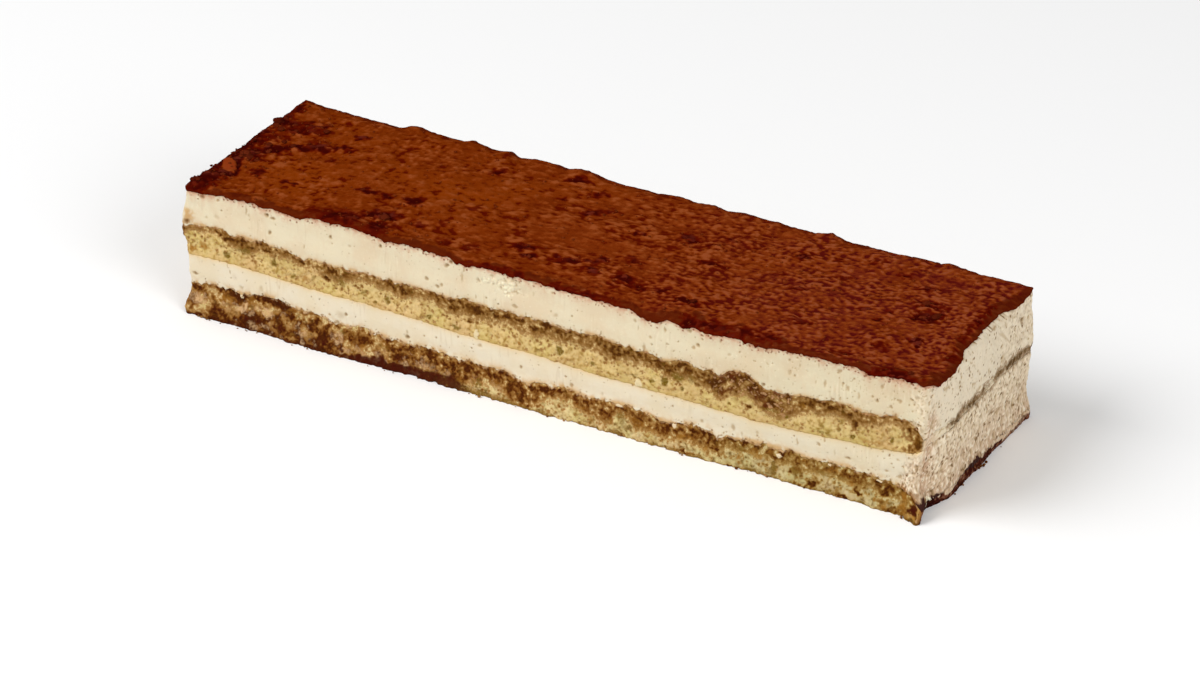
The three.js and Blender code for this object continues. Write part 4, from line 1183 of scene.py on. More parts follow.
def patch_fields(x, y):
    x, y = as_seen(x, y)
    dark, high = np.zeros_like(x), np.zeros_like(x)
    wx = x + 2.4 * noise(x, y, 3.3, 5.0, 91) + 1.7 * noise(x, y, 3.3, 2.2, 92)
    wy = y + 2.4 * noise(x, y, 8.3, 5.0, 93) + 1.7 * noise(x, y, 8.3, 2.2, 94)
    for cx, cy, rx, ry, turn, deep, up in PATCHES:
        reach = 2.0 * max(rx, ry) + 3
        near = (np.abs(x - cx) < reach) & (np.abs(y - cy) < reach)
        if not near.any():
            continue
        a = math.radians(turn)
        u = ((wx[near] - cx) * math.cos(a) + (wy[near] - cy) * math.sin(a)) / rx
        v = (-(wx[near] - cx) * math.sin(a) + (wy[near] - cy) * math.cos(a)) / ry
        w = np.exp(-((u * u + v * v) ** 1.2))
        dark[near] = np.maximum(dark[near], deep * w)
        high[near] += up * w
    return dark, high


def slab_place(x, y):
    """Distance across the flake, 1 at its outline, and the place along and across it."""
    x, y = as_seen(x, y)
    a = math.radians(SLAB[4])
    u = ((x - SLAB[0]) * math.cos(a) + (y - SLAB[1]) * math.sin(a)) / SLAB[2]
    v = (-(x - SLAB[0]) * math.sin(a) + (y - SLAB[1]) * math.cos(a)) / SLAB[3]
    ragged = 0.30 * noise(x, y, 0, 2.5, 66)
    return (np.abs(u) ** 2.6 + np.abs(v) ** 2.6) ** (1 / 2.6) + ragged, u, v


def fairness(x, y):
    """Where the cocoa is lighter, 0 to 1."""
    x, y = as_seen(x, y)
    out = np.zeros_like(x)
    for cx, cy, rx, ry, strong in FAIR:
        out = out + strong * np.exp(-(((x - cx) / rx) ** 2) - ((y - cy) / ry) ** 2)
    return clamp01(out + 0.15 * noise(x, y, 0, 18, 83))


def cocoa_height(x, y):
    """Height of the cocoa's surface and its attributes."""
    edge = np.minimum(HX - np.abs(x), HY - np.abs(y))
    thin = smooth(0, 5, edge)
    floor_z = cream_top_smooth(x, y)
    lumps = COCOA_LUMP * (0.6 * wander(x + 0.4 * y, 41, 0.3) + 0.6 * wander(y - 0.3 * x, 33, 1.1))
    heap = 1 - smooth(-170, -140, x)
    z = floor_z + COCOA_THICKNESS * (0.75 + 0.25 * thin)
    z = z + (lumps + 0.6 * heap) * thin
    dark, high = patch_fields(x, y)
    z = z + high * (0.35 + 0.65 * thin)
    # powder lying in low, flat flakes of several sizes, coarser in the heaped and dark places
    coarse = clamp01(0.9 * dark + 0.3 * heap)
    finer = smooth(-80, 90, x)
    lx = x + 120 - (x + 120) * 0.30 * smooth(-120, 20, x)  # drawn out along the bar
    n1, n2 = noise(0.85 * x, y, 0, 6.4, 64), noise(lx, y, 0, 3.4, 63)
    n3, n4 = noise(lx, y, 0, 2.0, 70), noise(lx, y, 0, 1.25, 81)
    d1, e1, id1 = cells(x, y, 0.5, 3.3, 61)
    d3, e3, id3 = cells(x, y, 0.5, 4.6, 69)
    flakes = 0.42 * hump(d1, 0.8) * share(id1, 4)
    rel = (0.46 - 0.20 * finer) * n1 + (0.54 - 0.16 * finer) * n2
    rel = rel + (0.50 + 0.20 * finer) * n3 + (0.28 + 0.34 * finer) * n4 + flakes - 0.10
    chunks = hump(d3, 0.85) * share(id3, 4)
    swell = 0.35 * noise(x, y, 0, 13, 65)
    crack = hump(np.clip(e3 - d3, 0, 1), 0.20) * clamp01(1.2 * dark + 0.4 * heap - 0.25)
    tall = 0.42 + 0.40 * coarse
    z = z + tall * rel + coarse * (0.75 * chunks - 0.25) - 0.35 * crack + swell * (0.4 + 0.6 * thin)
    # the pressed flake, and a sunken strip beside it, darkened as the flake's painted shadow
    far, u, v = slab_place(x, y)
    flake = 1 - smooth(0.86, 1.04, far)
    gap = (1 - flake) * (1 - smooth(1.05, 1.9, far)) * smooth(-0.3, 0.5, v + 0.25 * u)
    z = z - 0.9 * gap
    top = 61.5 + 0.30 * noise(x, y, 0, 3.0, 67) + 0.15 * noise(x, y, 0, 1.4, 67) - 0.4 * v - 0.2 * u
    z = z * (1 - flake) + flake * top
    z = z - 0.45 * (1 - smooth(0.0, 1.2, edge))
    z = np.maximum(z, floor_z + 0.45)
    # how deep each point lies among the flakes, cracks and chunks: the shader paints shade in the hollows and
    # highlights on the tops from it
    keen = (0.64 + 0.28 * finer) * (1 + 0.9 * noise(x, y, 0, 19, 87)) + 0.35 * coarse
    hollow_shade = 0.45 - keen * rel - (0.22 + 0.34 * finer) * swell + 0.25 * crack - 0.35 * coarse * (chunks - 0.3)
    width = np.where(y < 0, table(DARK_RIM, x), 2.2)
    side = smooth(-4, 4, np.abs(x) - HX + (HY - np.abs(y)))  # nearer an end than a long side
    width = width * (1 - side) + np.where(x > 0, 5.4, 4.0) * side
    frayed = 1.0 * noise(x, y, 0, 8, 68) + 0.7 * noise(x, y, 0, 3.2, 86)
    rim = 1 - smooth(0.25 * width, 1.5 * width, edge + width * frayed)
    # the dark damp places, and the flake's painted shadow over the strip beside it
    damp_and_shadow = clamp01(dark * (1 - flake) + 0.9 * gap)
    # heap marks the raised chunks, on which the shader paints a highlight in damp places
    return z, {
        "damp_and_shadow": damp_and_shadow,
        "hollow_shade": clamp01(hollow_shade * (1 - 0.6 * flake)),
        "flake": clamp01(flake * (1.25 - 0.75 * far + 0.9 * noise(x, y, 0, 2.2, 82))),
        "rim": rim,
        "heap": clamp01(chunks * share(id3, 8) * 1.6),
        "fair": fairness(x, y),
    }


def cocoa_mesh():
    def stations(half, n):
        inner = half - PLAN_RADIUS
        k = 3
        out = list(-half + PLAN_RADIUS * np.arange(k) / k)
        out += list(np.linspace(-inner, inner, n - 2 * k + 1))
        out += list(inner + PLAN_RADIUS * (np.arange(k) + 1) / k)
        return np.array(out)

    count = [int(round(2 * (h - PLAN_RADIUS) / TOP_STEP)) + 6 for h in (HX, HY)]
    X, Y = np.meshgrid(stations(HX, count[0]), stations(HY, count[1]))
    px = np.clip((np.abs(X) - (HX - PLAN_RADIUS)) / PLAN_RADIUS, 0, 1)
    py = np.clip((np.abs(Y) - (HY - PLAN_RADIUS)) / PLAN_RADIUS, 0, 1)
    both = (px > 0) & (py > 0)
    qx = np.where(both, px * np.sqrt(1 - py * py / 2), px)
    qy = np.where(both, py * np.sqrt(1 - px * px / 2), py)
    X = np.where(px > 0, np.sign(X) * (HX - PLAN_RADIUS + PLAN_RADIUS * qx), X)
    Y = np.where(py > 0, np.sign(Y) * (HY - PLAN_RADIUS + PLAN_RADIUS * qy), Y)
    m, n = X.shape
    Z, marks = cocoa_height(X, Y)
    # ring of the border, counter-clockwise from the front left
    idx = np.arange(m * n).reshape(m, n)
    ring = np.concatenate([idx[0, :-1], idx[:-1, -1], idx[-1, :0:-1], idx[:0:-1, 0]])
    BX, BY = X.ravel()[ring], Y.ravel()[ring]
    ex = np.clip(np.abs(BX) - (HX - PLAN_RADIUS), 0, None)
    ey = np.clip(np.abs(BY) - (HY - PLAN_RADIUS), 0, None)
    length = np.hypot(ex, ey)
    NX, NY = np.sign(BX) * ex / length, np.sign(BY) * ey / length
    # ragged plan: the border moves out and in, and the nodes near it go along
    rag = 0.45 * noise(X, Y, 0, 4.0, 73) + 0.32 * noise(X, Y, 0, 1.9, 74)
    near = 1 - smooth(0, 2.5, np.minimum(HX - np.abs(X), HY - np.abs(Y)))
    sx, sy = shape_sides(X, Y, Z)
    cx = np.clip(np.abs(X) - (HX - PLAN_RADIUS), 0, None)
    cy = np.clip(np.abs(Y) - (HY - PLAN_RADIUS), 0, None)
    cl = np.maximum(np.hypot(cx, cy), 1e-6)
    out = near * (rag + 0.15 + end_bulge(X, Y, Z, np.sign(X) * cx / cl, np.sign(Y) * cy / cl))
    sx = sx + out * np.sign(X) * cx / cl - cocoa_inset(X, Y)
    sy = sy + out * np.sign(Y) * cy / cl
    co = [np.stack([sx, sy, Z], -1).reshape(-1, 3)]
    q = np.stack([idx[:-1, :-1], idx[:-1, 1:], idx[1:, 1:], idx[1:, :-1]], -1).reshape(-1, 4)
    faces = [q]
    # walls: down from the border, over the cream's rim
    R = len(ring)
    k, k1 = np.arange(R), (np.arange(R) + 1) % R
    rows = 4
    top = co[0][ring]
    drip = np.clip(noise(BX, BY, 0, 2.6, 75) + 0.55 * noise(BX, BY, 0, 6.5, 76) - 0.12, 0, None)
    seat = cream_top(BX, BY) - 0.25
    fine = 0.95 * noise(BX, BY, 0, 2.9, 79) + 0.80 * noise(BX, BY, 0, 1.2, 84)
    fine = fine * clamp01(0.85 + 2.2 * noise(BX, BY, 0, 17, 85)) * 1.25
    front, end = clamp01(-NY) ** 2, clamp01(NX) ** 2
    line = np.minimum(seat, table(FRONT_RIM, BX) + fine)
    line = line * front + (seat - 0.7 * drip) * (1 - front)
    line = line * (1 - end) + end * np.minimum(seat, table(END_RIM, BY) + fine)
    bottom = line - 0.5 * drip * front
    used = m * n
    prev = ring
    fields = {a: [np.broadcast_to(v, X.shape).ravel()] for a, v in marks.items()}
    for r in range(1, rows + 1):
        f = r / rows
        bulge = 0.30 * math.sin(math.pi * min(f * 1.1, 1)) + 0.10
        z = top[:, 2] + (bottom - top[:, 2]) * f
        wx = top[:, 0] + NX * (bulge + 0.22 * noise(BX, BY, z, 1.7, 77))
        wy = top[:, 1] + NY * (bulge + 0.22 * noise(BX, BY, z, 1.7, 78))
        co.append(np.stack([wx, wy, z], 1))
        faces.append(np.stack([prev[k1], prev[k], used + k, used + k1], 1))
        prev = used + k
        used += R
        for a in fields:
            v = fields[a][0][ring]
            if a == "rim":
                v = np.ones(R)
            # on the walls the painted shade and highlight of the relief follow noise alone
            if a == "hollow_shade":
                v = clamp01(0.55 + 0.4 * noise(BX, BY, z, 1.9, 80))
            fields[a].append(v)
    # sole, tucked into the cream
    px_, py_ = BX - NX * 1.6, BY - NY * 1.6
    hx_, hy_ = shape_sides(px_, py_, bottom)
    sole_z = np.minimum(cream_top_smooth(px_, py_) - 0.5, bottom)
    ringin = np.stack([hx_ - cocoa_inset(BX, BY), hy_, sole_z], 1)
    first = used
    co.append(ringin)
    used += R
    faces.append(np.stack([prev[k1], prev[k], first + k, first + k1], 1))
    added, z2, tri = fill(ringin[:, :2], lambda x, y: cream_top_smooth(x, y) - 0.5, first)
    tri = np.where(tri < 0, used + (-1 - tri), tri)
    co.append(np.stack([added[:, 0], added[:, 1], z2], 1))
    for a in fields:
        fields[a].append(np.full(R, 1.0 if a == "rim" else 0.3))
        fields[a].append(np.full(len(added), 0.3))
    faces.append(tri[:, ::-1])
    xyz = np.concatenate(co)
    # map: the top in two halves, walls and sole beside them
    uv = []
    side = 178.0
    p = X.ravel()[q], Y.ravel()[q]
    right = (X[:-1, :-1].ravel() >= -0.001) & (X[:-1, 1:].ravel() > 0.001)
    u = p[0] + HX + 1 - np.where(right, HX, 0)[:, None]
    v = p[1] + HY + 1 + np.where(right, 2 * HY + 1.5, 0)[:, None]
    uv.append(np.stack([u, v], -1).reshape(-1, 2))
    seg = np.hypot(BX[k1] - BX, BY[k1] - BY)
    s0 = np.concatenate([[0], np.cumsum(seg)[:-1]])
    s1 = s0 + seg
    per = seg.sum() / 5
    kk = np.minimum((s0 / per).astype(int), 4)
    for r in range(rows + 1):
        a0, a1 = s0 - kk * per + 1, s1 - kk * per + 1
        b0 = side + 1 + kk * 3.2 + r * 0.6
        b1 = b0 + 0.6
        uv.append(np.stack([b0, a1, b0, a0, b1, a0, b1, a1], 1).reshape(-1, 2))
    t3 = xyz[tri[:, ::-1].ravel()][:, :2]
    uv.append(np.stack([side - 1 + (t3[:, 0] + HX) / LENGTH * 0.8, 1 + (t3[:, 1] + HY) * 0.3], 1))
    return make_mesh(
        "cocoa_crust_top",
        xyz,
        faces,
        {a: np.concatenate(v) for a, v in fields.items()},
        np.concatenate(uv) / MAP_SIDE,
    )


# ============================================================================================
# loose things: grains, clods and crumbs, each kind one mesh
# ============================================================================================
def icosphere(sub):
    bm = bmesh.new()
    bmesh.ops.create_icosphere(bm, subdivisions=sub, radius=1.0)
    bm.verts.ensure_lookup_table()
    v = np.array([p.co[:] for p in bm.verts])
    f = np.array([[q.index for q in t.verts] for t in bm.faces])
    bm.free()
    return v, f


def scatter(name, where, radius, flat, sub, rng, rough=0.28, attributes=None, sink=0.25):
    """Joins one uneven lump per place into a mesh. where is (n, 3) of points on the surface,
    radius (n,) in mm, flat the lumps' height over width."""
    v, f = icosphere(sub)
    n = len(where)
    shapes = 9
    forms = []
    for k in range(shapes):
        d = 1 + rough * (
            noise(v[:, 0], v[:, 1], v[:, 2], 0.9, 300 + k)
            + 0.6 * noise(v[:, 0], v[:, 1], v[:, 2], 0.45, 320 + k)
        )
        forms.append(v * d[:, None])
    forms = np.array(forms)
    pick = rng.integers(0, shapes, n)
    turn = rng.uniform(0, 2 * np.pi, n)
    tip = rng.uniform(-0.5, 0.5, (n, 2))
    stretch = rng.uniform(0.75, 1.3, (n, 3))
    p = forms[pick] * stretch[:, None, :]
    c, s = np.cos(tip[:, 0]), np.sin(tip[:, 0])
    p = np.stack(
        [
            p[..., 0],
            p[..., 1] * c[:, None] - p[..., 2] * s[:, None],
            p[..., 1] * s[:, None] + p[..., 2] * c[:, None],
        ],
        -1,
    )
    c, s = np.cos(turn), np.sin(turn)
    p = np.stack(
        [
            p[..., 0] * c[:, None] - p[..., 1] * s[:, None],
            p[..., 0] * s[:, None] + p[..., 1] * c[:, None],
            p[..., 2] * flat,
        ],
        -1,
    )
    p = p * radius[:, None, None] + where[:, None, :]
    p[..., 2] += (radius * flat * (1 - 2 * sink))[:, None]
    p[..., 2] = np.maximum(p[..., 2], 0.03)
    faces = (f[None] + (np.arange(n) * len(v))[:, None, None]).reshape(-1, 3)
    marks = {a: np.repeat(np.asarray(b, float), len(v)) for a, b in (attributes or {}).items()}
    return make_mesh(name, p.reshape(-1, 3), [faces], marks)


# ============================================================================================
# materials
# ============================================================================================
def linear(r, g, b):
    """An sRGB colour, 0 to 255, as the shader wants it."""
    out = []
    for c in (r, g, b):
        c /= 255
        out.append(c / 12.92 if c <= 0.04045 else ((c + 0.055) / 1.055) ** 2.4)
    return (*out, 1.0)


class Look:
    """A small helper that builds a node material."""

    def __init__(self, name):
        self.material = bpy.data.materials.new(name)
        self.material.use_nodes = True
        self.tree = self.material.node_tree
        self.tree.nodes.clear()
        self.out = self.tree.nodes.new("ShaderNodeOutputMaterial")
        self.shader = self.tree.nodes.new("ShaderNodeBsdfPrincipled")
        self.tree.links.new(self.shader.outputs[0], self.out.inputs[0])
        coord = self.tree.nodes.new("ShaderNodeTexCoord")
        self.place = coord.outputs["Object"]

    def link(self, a, b):
        self.tree.links.new(a, b)

    def set(self, name, value):
        if isinstance(value, bpy.types.NodeSocket):
            self.link(value, self.shader.inputs[name])
        else:
            self.shader.inputs[name].default_value = value

    def attribute(self, name):
        n = self.tree.nodes.new("ShaderNodeAttribute")
        n.attribute_type = "GEOMETRY"
        n.attribute_name = name
        return n.outputs["Fac"]

    def noise(self, size_mm, detail=3.0, rough=0.55, stretch=None, offset=0.0):
        """Noise of the given size, 0 to 1."""
        n = self.tree.nodes.new("ShaderNodeTexNoise")
        n.inputs["Scale"].default_value = 1.0
        n.inputs["Detail"].default_value = detail
        n.inputs["Roughness"].default_value = rough
        m = self.tree.nodes.new("ShaderNodeMapping")
        k = 1000.0 / size_mm
        s = stretch or (1, 1, 1)
        m.inputs["Scale"].default_value = (k / s[0], k / s[1], k / s[2])
        m.inputs["Location"].default_value = (offset, offset * 0.7, -offset)
        self.link(self.place, m.inputs["Vector"])
        self.link(m.outputs[0], n.inputs["Vector"])
        return n.outputs["Fac"]

    def cells(self, size_mm, feature="F1", offset=0.0):
        n = self.tree.nodes.new("ShaderNodeTexVoronoi")
        n.feature = feature
        n.inputs["Scale"].default_value = 1000.0 / size_mm
        m = self.tree.nodes.new("ShaderNodeMapping")
        m.inputs["Location"].default_value = (offset, offset, offset)
        self.link(self.place, m.inputs["Vector"])
        self.link(m.outputs[0], n.inputs["Vector"])
        return n.outputs["Distance"]

    def math(self, op, a, b=0.0, clamp=False):
        n = self.tree.nodes.new("ShaderNodeMath")
        n.operation = op
        n.use_clamp = clamp
        for i, v in enumerate((a, b)):
            if isinstance(v, bpy.types.NodeSocket):
                self.link(v, n.inputs[i])
            else:
                n.inputs[i].default_value = v
        return n.outputs[0]

    def ramp(self, v, low, high, to=(0.0, 1.0)):
        n = self.tree.nodes.new("ShaderNodeMapRange")
        n.interpolation_type = "SMOOTHSTEP"
        n.clamp = True
        for name, x in (("From Min", low), ("From Max", high), ("To Min", to[0]), ("To Max", to[1])):
            n.inputs[name].default_value = x
        self.link(v, n.inputs["Value"])
        return n.outputs[0]

    def mix(self, a, b, f):
        n = self.tree.nodes.new("ShaderNodeMix")
        n.data_type = "RGBA"
        for i, v in ((0, f), (6, a), (7, b)):
            if isinstance(v, bpy.types.NodeSocket):
                self.link(v, n.inputs[i])
            else:
                n.inputs[i].default_value = v
        return n.outputs[2]

    def tint(self, colour, by, f):
        """The colour times another, both as seen, as far as f."""
        n = self.tree.nodes.new("ShaderNodeMix")
        n.data_type = "RGBA"
        n.blend_type = "MULTIPLY"
        if isinstance(f, bpy.types.NodeSocket):
            self.link(f, n.inputs[0])
        else:
            n.inputs[0].default_value = f
        self.link(colour, n.inputs[6])
        n.inputs[7].default_value = (*(c**2.2 for c in by), 1.0)
        return n.outputs[2]

    def steps(self, v, colours, low, high):
        """Runs evenly through a list of colours as v goes from low to high."""
        out = linear(*colours[0])
        gap = (high - low) / (len(colours) - 1)
        for i, colour in enumerate(colours[1:]):
            n = self.tree.nodes.new("ShaderNodeMapRange")
            n.clamp = True
            n.inputs["From Min"].default_value = low + i * gap
            n.inputs["From Max"].default_value = low + (i + 1) * gap
            self.link(v, n.inputs["Value"])
            out = self.mix(out, linear(*colour), n.outputs[0])
        return out

    def times(self, *factors):
        v = factors[0]
        for f in factors[1:]:
            v = self.math("MULTIPLY", v, f)
        return v

    def bump(self, height, distance_mm, strength=1.0, under=None):
        n = self.tree.nodes.new("ShaderNodeBump")
        n.inputs["Strength"].default_value = strength
        n.inputs["Distance"].default_value = distance_mm * 0.001
        self.link(height, n.inputs["Height"])
        if under is not None:
            self.link(under, n.inputs["Normal"])
        return n.outputs[0]


def sponge_look(name, hues):
    """hues: crumb (from dark to light), coffee (from least to most soaked), worn (the same on the
    nose end), away (tints of crumb and coffee to the right, and of cream bits), gold, ochre, olive,
    red, paste, a painted shade for pits (which also darkens smeared cream where its tone is low), deep (that painted
    shade in soaked crumb), cream, paler, warm."""
    k = Look(name)
    hue = {a: linear(*b) for a, b in hues.items() if not isinstance(b, list)}
    soak, pit, tone = (k.attribute(a) for a in ("soak", "pit", "tone"))
    fine = k.noise(0.9, 3.0, 0.6, offset=3.1)
    grain = k.noise(0.45, 2.0, 0.6, offset=4.9)
    broad = k.noise(7.0, 2.0, 0.5, offset=7.7)
    grey = k.attribute("grey")
    light = k.math("ADD", tone, k.times(k.math("SUBTRACT", fine, 0.5), 0.5))
    crumb = k.steps(light, hues["crumb"], -0.05, 1.05)
    crumb = k.mix(crumb, hue["gold"], k.ramp(broad, 0.47, 0.70, to=(0, 0.34)))
    crumb = k.mix(crumb, hue["gold"], k.times(k.attribute("sole"), 0.4))
    patch = k.noise(13.0, 2.0, 0.5, offset=12.4)
    crumb = k.tint(crumb, (0.985, 1.0, 0.95), k.ramp(patch, 0.50, 0.34))
    crumb = k.tint(crumb, (1.0, 0.975, 1.0), k.ramp(patch, 0.50, 0.66))
    crumb = k.tint(crumb, hues["away"][0], grey)
    depth = k.math("ADD", soak, k.times(k.math("SUBTRACT", fine, 0.5), 0.60))
    depth = k.math("ADD", depth, k.times(k.math("SUBTRACT", grain, 0.5), 0.35))
    coffee = k.tint(k.steps(depth, hues["coffee"], 0.08, 1.05), hues["away"][1], grey)
    colour = k.mix(crumb, coffee, k.ramp(depth, 0.06, 0.28))
    colour = k.mix(colour, hue["ochre"], k.ramp(k.attribute("ochre"), 0.10, 0.90, to=(0, 0.7)))
    spot = k.times(k.ramp(k.attribute("olive"), 0.10, 0.62), k.ramp(fine, 0.32, 0.60, to=(0.66, 1.0)))
    colour = k.mix(colour, hue["olive"], spot)
    paste = k.math("ADD", k.attribute("paste"), k.times(k.math("SUBTRACT", fine, 0.5), 1.0))
    there = k.ramp(k.attribute("paste"), 0.03, 0.2)
    colour = k.mix(colour, hue["paste"], k.times(k.ramp(paste, 0.10, 0.85, to=(0, 0.88)), there))
    reds = k.math("ADD", k.attribute("red"), k.times(k.math("SUBTRACT", fine, 0.5), 0.5))
    there = k.ramp(k.attribute("red"), 0.03, 0.2)
    colour = k.mix(colour, hue["red"], k.times(k.ramp(reds, 0.15, 0.90, to=(0, 0.9)), there))
    colour = k.mix(colour, k.steps(depth, hues["worn"], 0.1, 1.0), k.attribute("nose"))
    blot = k.times(k.ramp(reds, 0.35, 0.90), k.attribute("nose"))
    colour = k.mix(colour, hue["red"], k.times(blot, 0.6))
    # painted shade in the pits, darker in soaked crumb
    hole_shade = k.mix(hue["hole_shade"], hue["deep"], k.ramp(soak, 0.25, 0.7))
    colour = k.mix(colour, hole_shade, k.times(pit, 0.60))
    cream = k.mix(hue["cream"], hue["warm"], k.attribute("deep"))
    cream = k.mix(cream, hue["paler"], k.ramp(tone, 0.55, 0.95, to=(0, 0.6)))
    # painted shade in the smeared cream's pits, and darker where its tone is low
    cream = k.mix(cream, hue["hole_shade"], k.math("ADD", k.times(pit, 0.6), k.ramp(tone, 0.32, 0.0, to=(0, 0.6)), True))
    cream = k.tint(cream, hues["away"][2], k.math("SUBTRACT", 1.0, k.attribute("nose")))
    coat = k.math("ADD", k.attribute("coat"), k.times(k.math("SUBTRACT", fine, 0.5), 0.7))
    there = k.ramp(k.attribute("coat"), 0.02, 0.15)
    colour = k.mix(colour, cream, k.times(k.ramp(coat, 0.20, 0.80), there))
    k.set("Base Color", colour)
    k.set("Roughness", k.ramp(fine, 0.2, 0.8, to=(0.70, 0.92)))
    k.set("Specular IOR Level", 0.04)
    k.set("Subsurface Weight", 0.08)
    k.set("Subsurface Radius", (1.0, 0.6, 0.3))
    k.set("Subsurface Scale", 0.0010)
    k.set("Normal", k.bump(fine, 0.28, 0.8))
    return k.material


def cream_look(name, hues):
    """hues: base, warm, light (also a painted highlight), a painted highlight for torn cream, a painted
    cool shade for the nose end, porous and its pale (painted highlight on raised grains), dark (painted shade in
    pores) and warmer shades, a painted shade for pits and grooves, deep (the deepest painted shade in pits, also the
    colour of real flecks), cocoa, grit, stain."""
    k = Look(name)
    hue = {a: linear(*b) for a, b in hues.items()}
    pit, dust, porous = k.attribute("pit"), k.attribute("dust"), k.attribute("porous")
    streak, torn, stain = k.attribute("streak"), k.attribute("torn"), k.attribute("stain")
    tone, grit, nose = k.attribute("tone"), k.attribute("grit"), k.attribute("nose")
    cloud = k.noise(15.0, 3.0, 0.5, offset=1.3)
    fine = k.noise(1.1, 3.0, 0.6, offset=5.2)
    drag = k.noise(1.1, 2.0, 0.5, stretch=(1, 1, 6), offset=9.1)
    along = k.tree.nodes.new("ShaderNodeSeparateXYZ")
    k.link(k.place, along.inputs[0])
    small = k.noise(5.0, 3.0, 0.6, offset=2.7)
    colour = k.mix(hue["base"], hue["warm"], k.ramp(cloud, 0.42, 0.66, to=(0, 0.9)))
    colour = k.mix(colour, hue["warm"], k.ramp(small, 0.52, 0.72, to=(0, 0.5)))
    colour = k.tint(colour, (0.975, 0.978, 0.97), k.ramp(along.outputs[0], 0.02, 0.12))
    # the nose end in a cooler tint: painted cool cast of its shaded side
    colour = k.mix(colour, hue["end_shade_tint"], nose)
    # painted highlight where the fine bump stands up
    colour = k.mix(colour, hue["light"], k.ramp(fine, 0.56, 0.76, to=(0, 0.50)))
    colour = k.mix(colour, hue["warm"], k.ramp(drag, 0.56, 0.75, to=(0, 0.4)))
    # painted highlight on the drag marks' ridges and painted shade in their grooves
    colour = k.mix(colour, hue["light"], k.ramp(streak, 0.58, 0.92, to=(0, 0.34)))
    colour = k.mix(colour, hue["hole_shade"], k.ramp(streak, 0.42, 0.10, to=(0, 0.16)))
    grainy = k.mix(hue["porous"], hue["scorched"], k.attribute("deep"))
    # painted highlight on the raised grains and painted shade in the pores, both following tone
    grainy = k.mix(grainy, hue["pale"], k.ramp(tone, 0.50, 0.90, to=(0, 0.9)))
    grainy = k.mix(grainy, hue["pore_shade"], k.ramp(tone, 0.46, 0.04, to=(0, 0.78)))
    colour = k.mix(colour, grainy, k.ramp(porous, 0.0, 1.0, to=(0, 0.95)))
    # painted highlight on the raised bits of the torn patch and the curls, painted shade in the low ones
    colour = k.mix(colour, hue["torn_highlight"], k.times(torn, k.ramp(tone, 0.46, 0.80), 0.85))
    colour = k.mix(colour, hue["hole_shade"], k.times(torn, k.ramp(tone, 0.38, 0.1, to=(0, 0.6))))
    # painted shade in the pits and dented marks, darkest in the deepest
    colour = k.mix(colour, hue["hole_shade"], k.ramp(pit, 0.05, 0.5, to=(0, 0.8)))
    colour = k.mix(colour, hue["deep"], k.ramp(pit, 0.42, 0.95, to=(0, 0.9)))
    gritty = k.math("ADD", grit, k.times(k.math("SUBTRACT", fine, 0.5), 0.6))
    colour = k.mix(colour, hue["grit"], k.times(k.ramp(gritty, 0.15, 0.85, to=(0, 0.85)), k.ramp(grit, 0.02, 0.15)))
    colour = k.mix(colour, hue["deep"], k.times(k.ramp(k.attribute("fleck"), 0.20, 0.75), 0.85))
    speck = k.noise(1.2, 3.0, 0.65, offset=4.4)
    dusted = k.math("ADD", dust, k.times(k.math("SUBTRACT", speck, 0.5), 0.7))
    there = k.ramp(dust, 0.0, 0.15)
    colour = k.tint(colour, (0.92, 0.775, 0.745), k.times(k.ramp(dusted, -0.05, 1.0), there))
    colour = k.mix(colour, hue["cocoa"], k.times(k.ramp(dusted, 0.82, 1.15, to=(0, 0.7)), there))
    colour = k.mix(colour, hue["cocoa"], k.ramp(k.attribute("specks"), 0.2, 0.8, to=(0, 0.85)))
    seep = k.math("ADD", k.attribute("seep"), k.times(k.math("SUBTRACT", speck, 0.5), 0.4))
    there = k.ramp(k.attribute("seep"), 0.0, 0.15)
    colour = k.tint(colour, (0.90, 0.775, 0.62), k.times(k.ramp(seep, -0.05, 1.0), there))
    colour = k.tint(colour, (1.0, 0.925, 0.79), k.attribute("yolk"))
    stained = k.math("ADD", stain, k.times(k.math("SUBTRACT", fine, 0.5), 0.5))
    colour = k.mix(colour, hue["stain"], k.times(k.ramp(stained, 0.2, 0.75), k.ramp(stain, 0.02, 0.15)))
    k.set("Base Color", colour)
    k.set("Roughness", k.ramp(fine, 0.2, 0.8, to=(0.52, 0.72)))
    k.set("Specular IOR Level", 0.12)
    k.set("Subsurface Weight", 0.18)
    k.set("Subsurface Radius", (1.0, 0.75, 0.5))
    k.set("Subsurface Scale", 0.0015)
    k.set("Normal", k.bump(fine, 0.14, 0.6, under=k.bump(drag, 0.12, 0.4)))
    return k.material


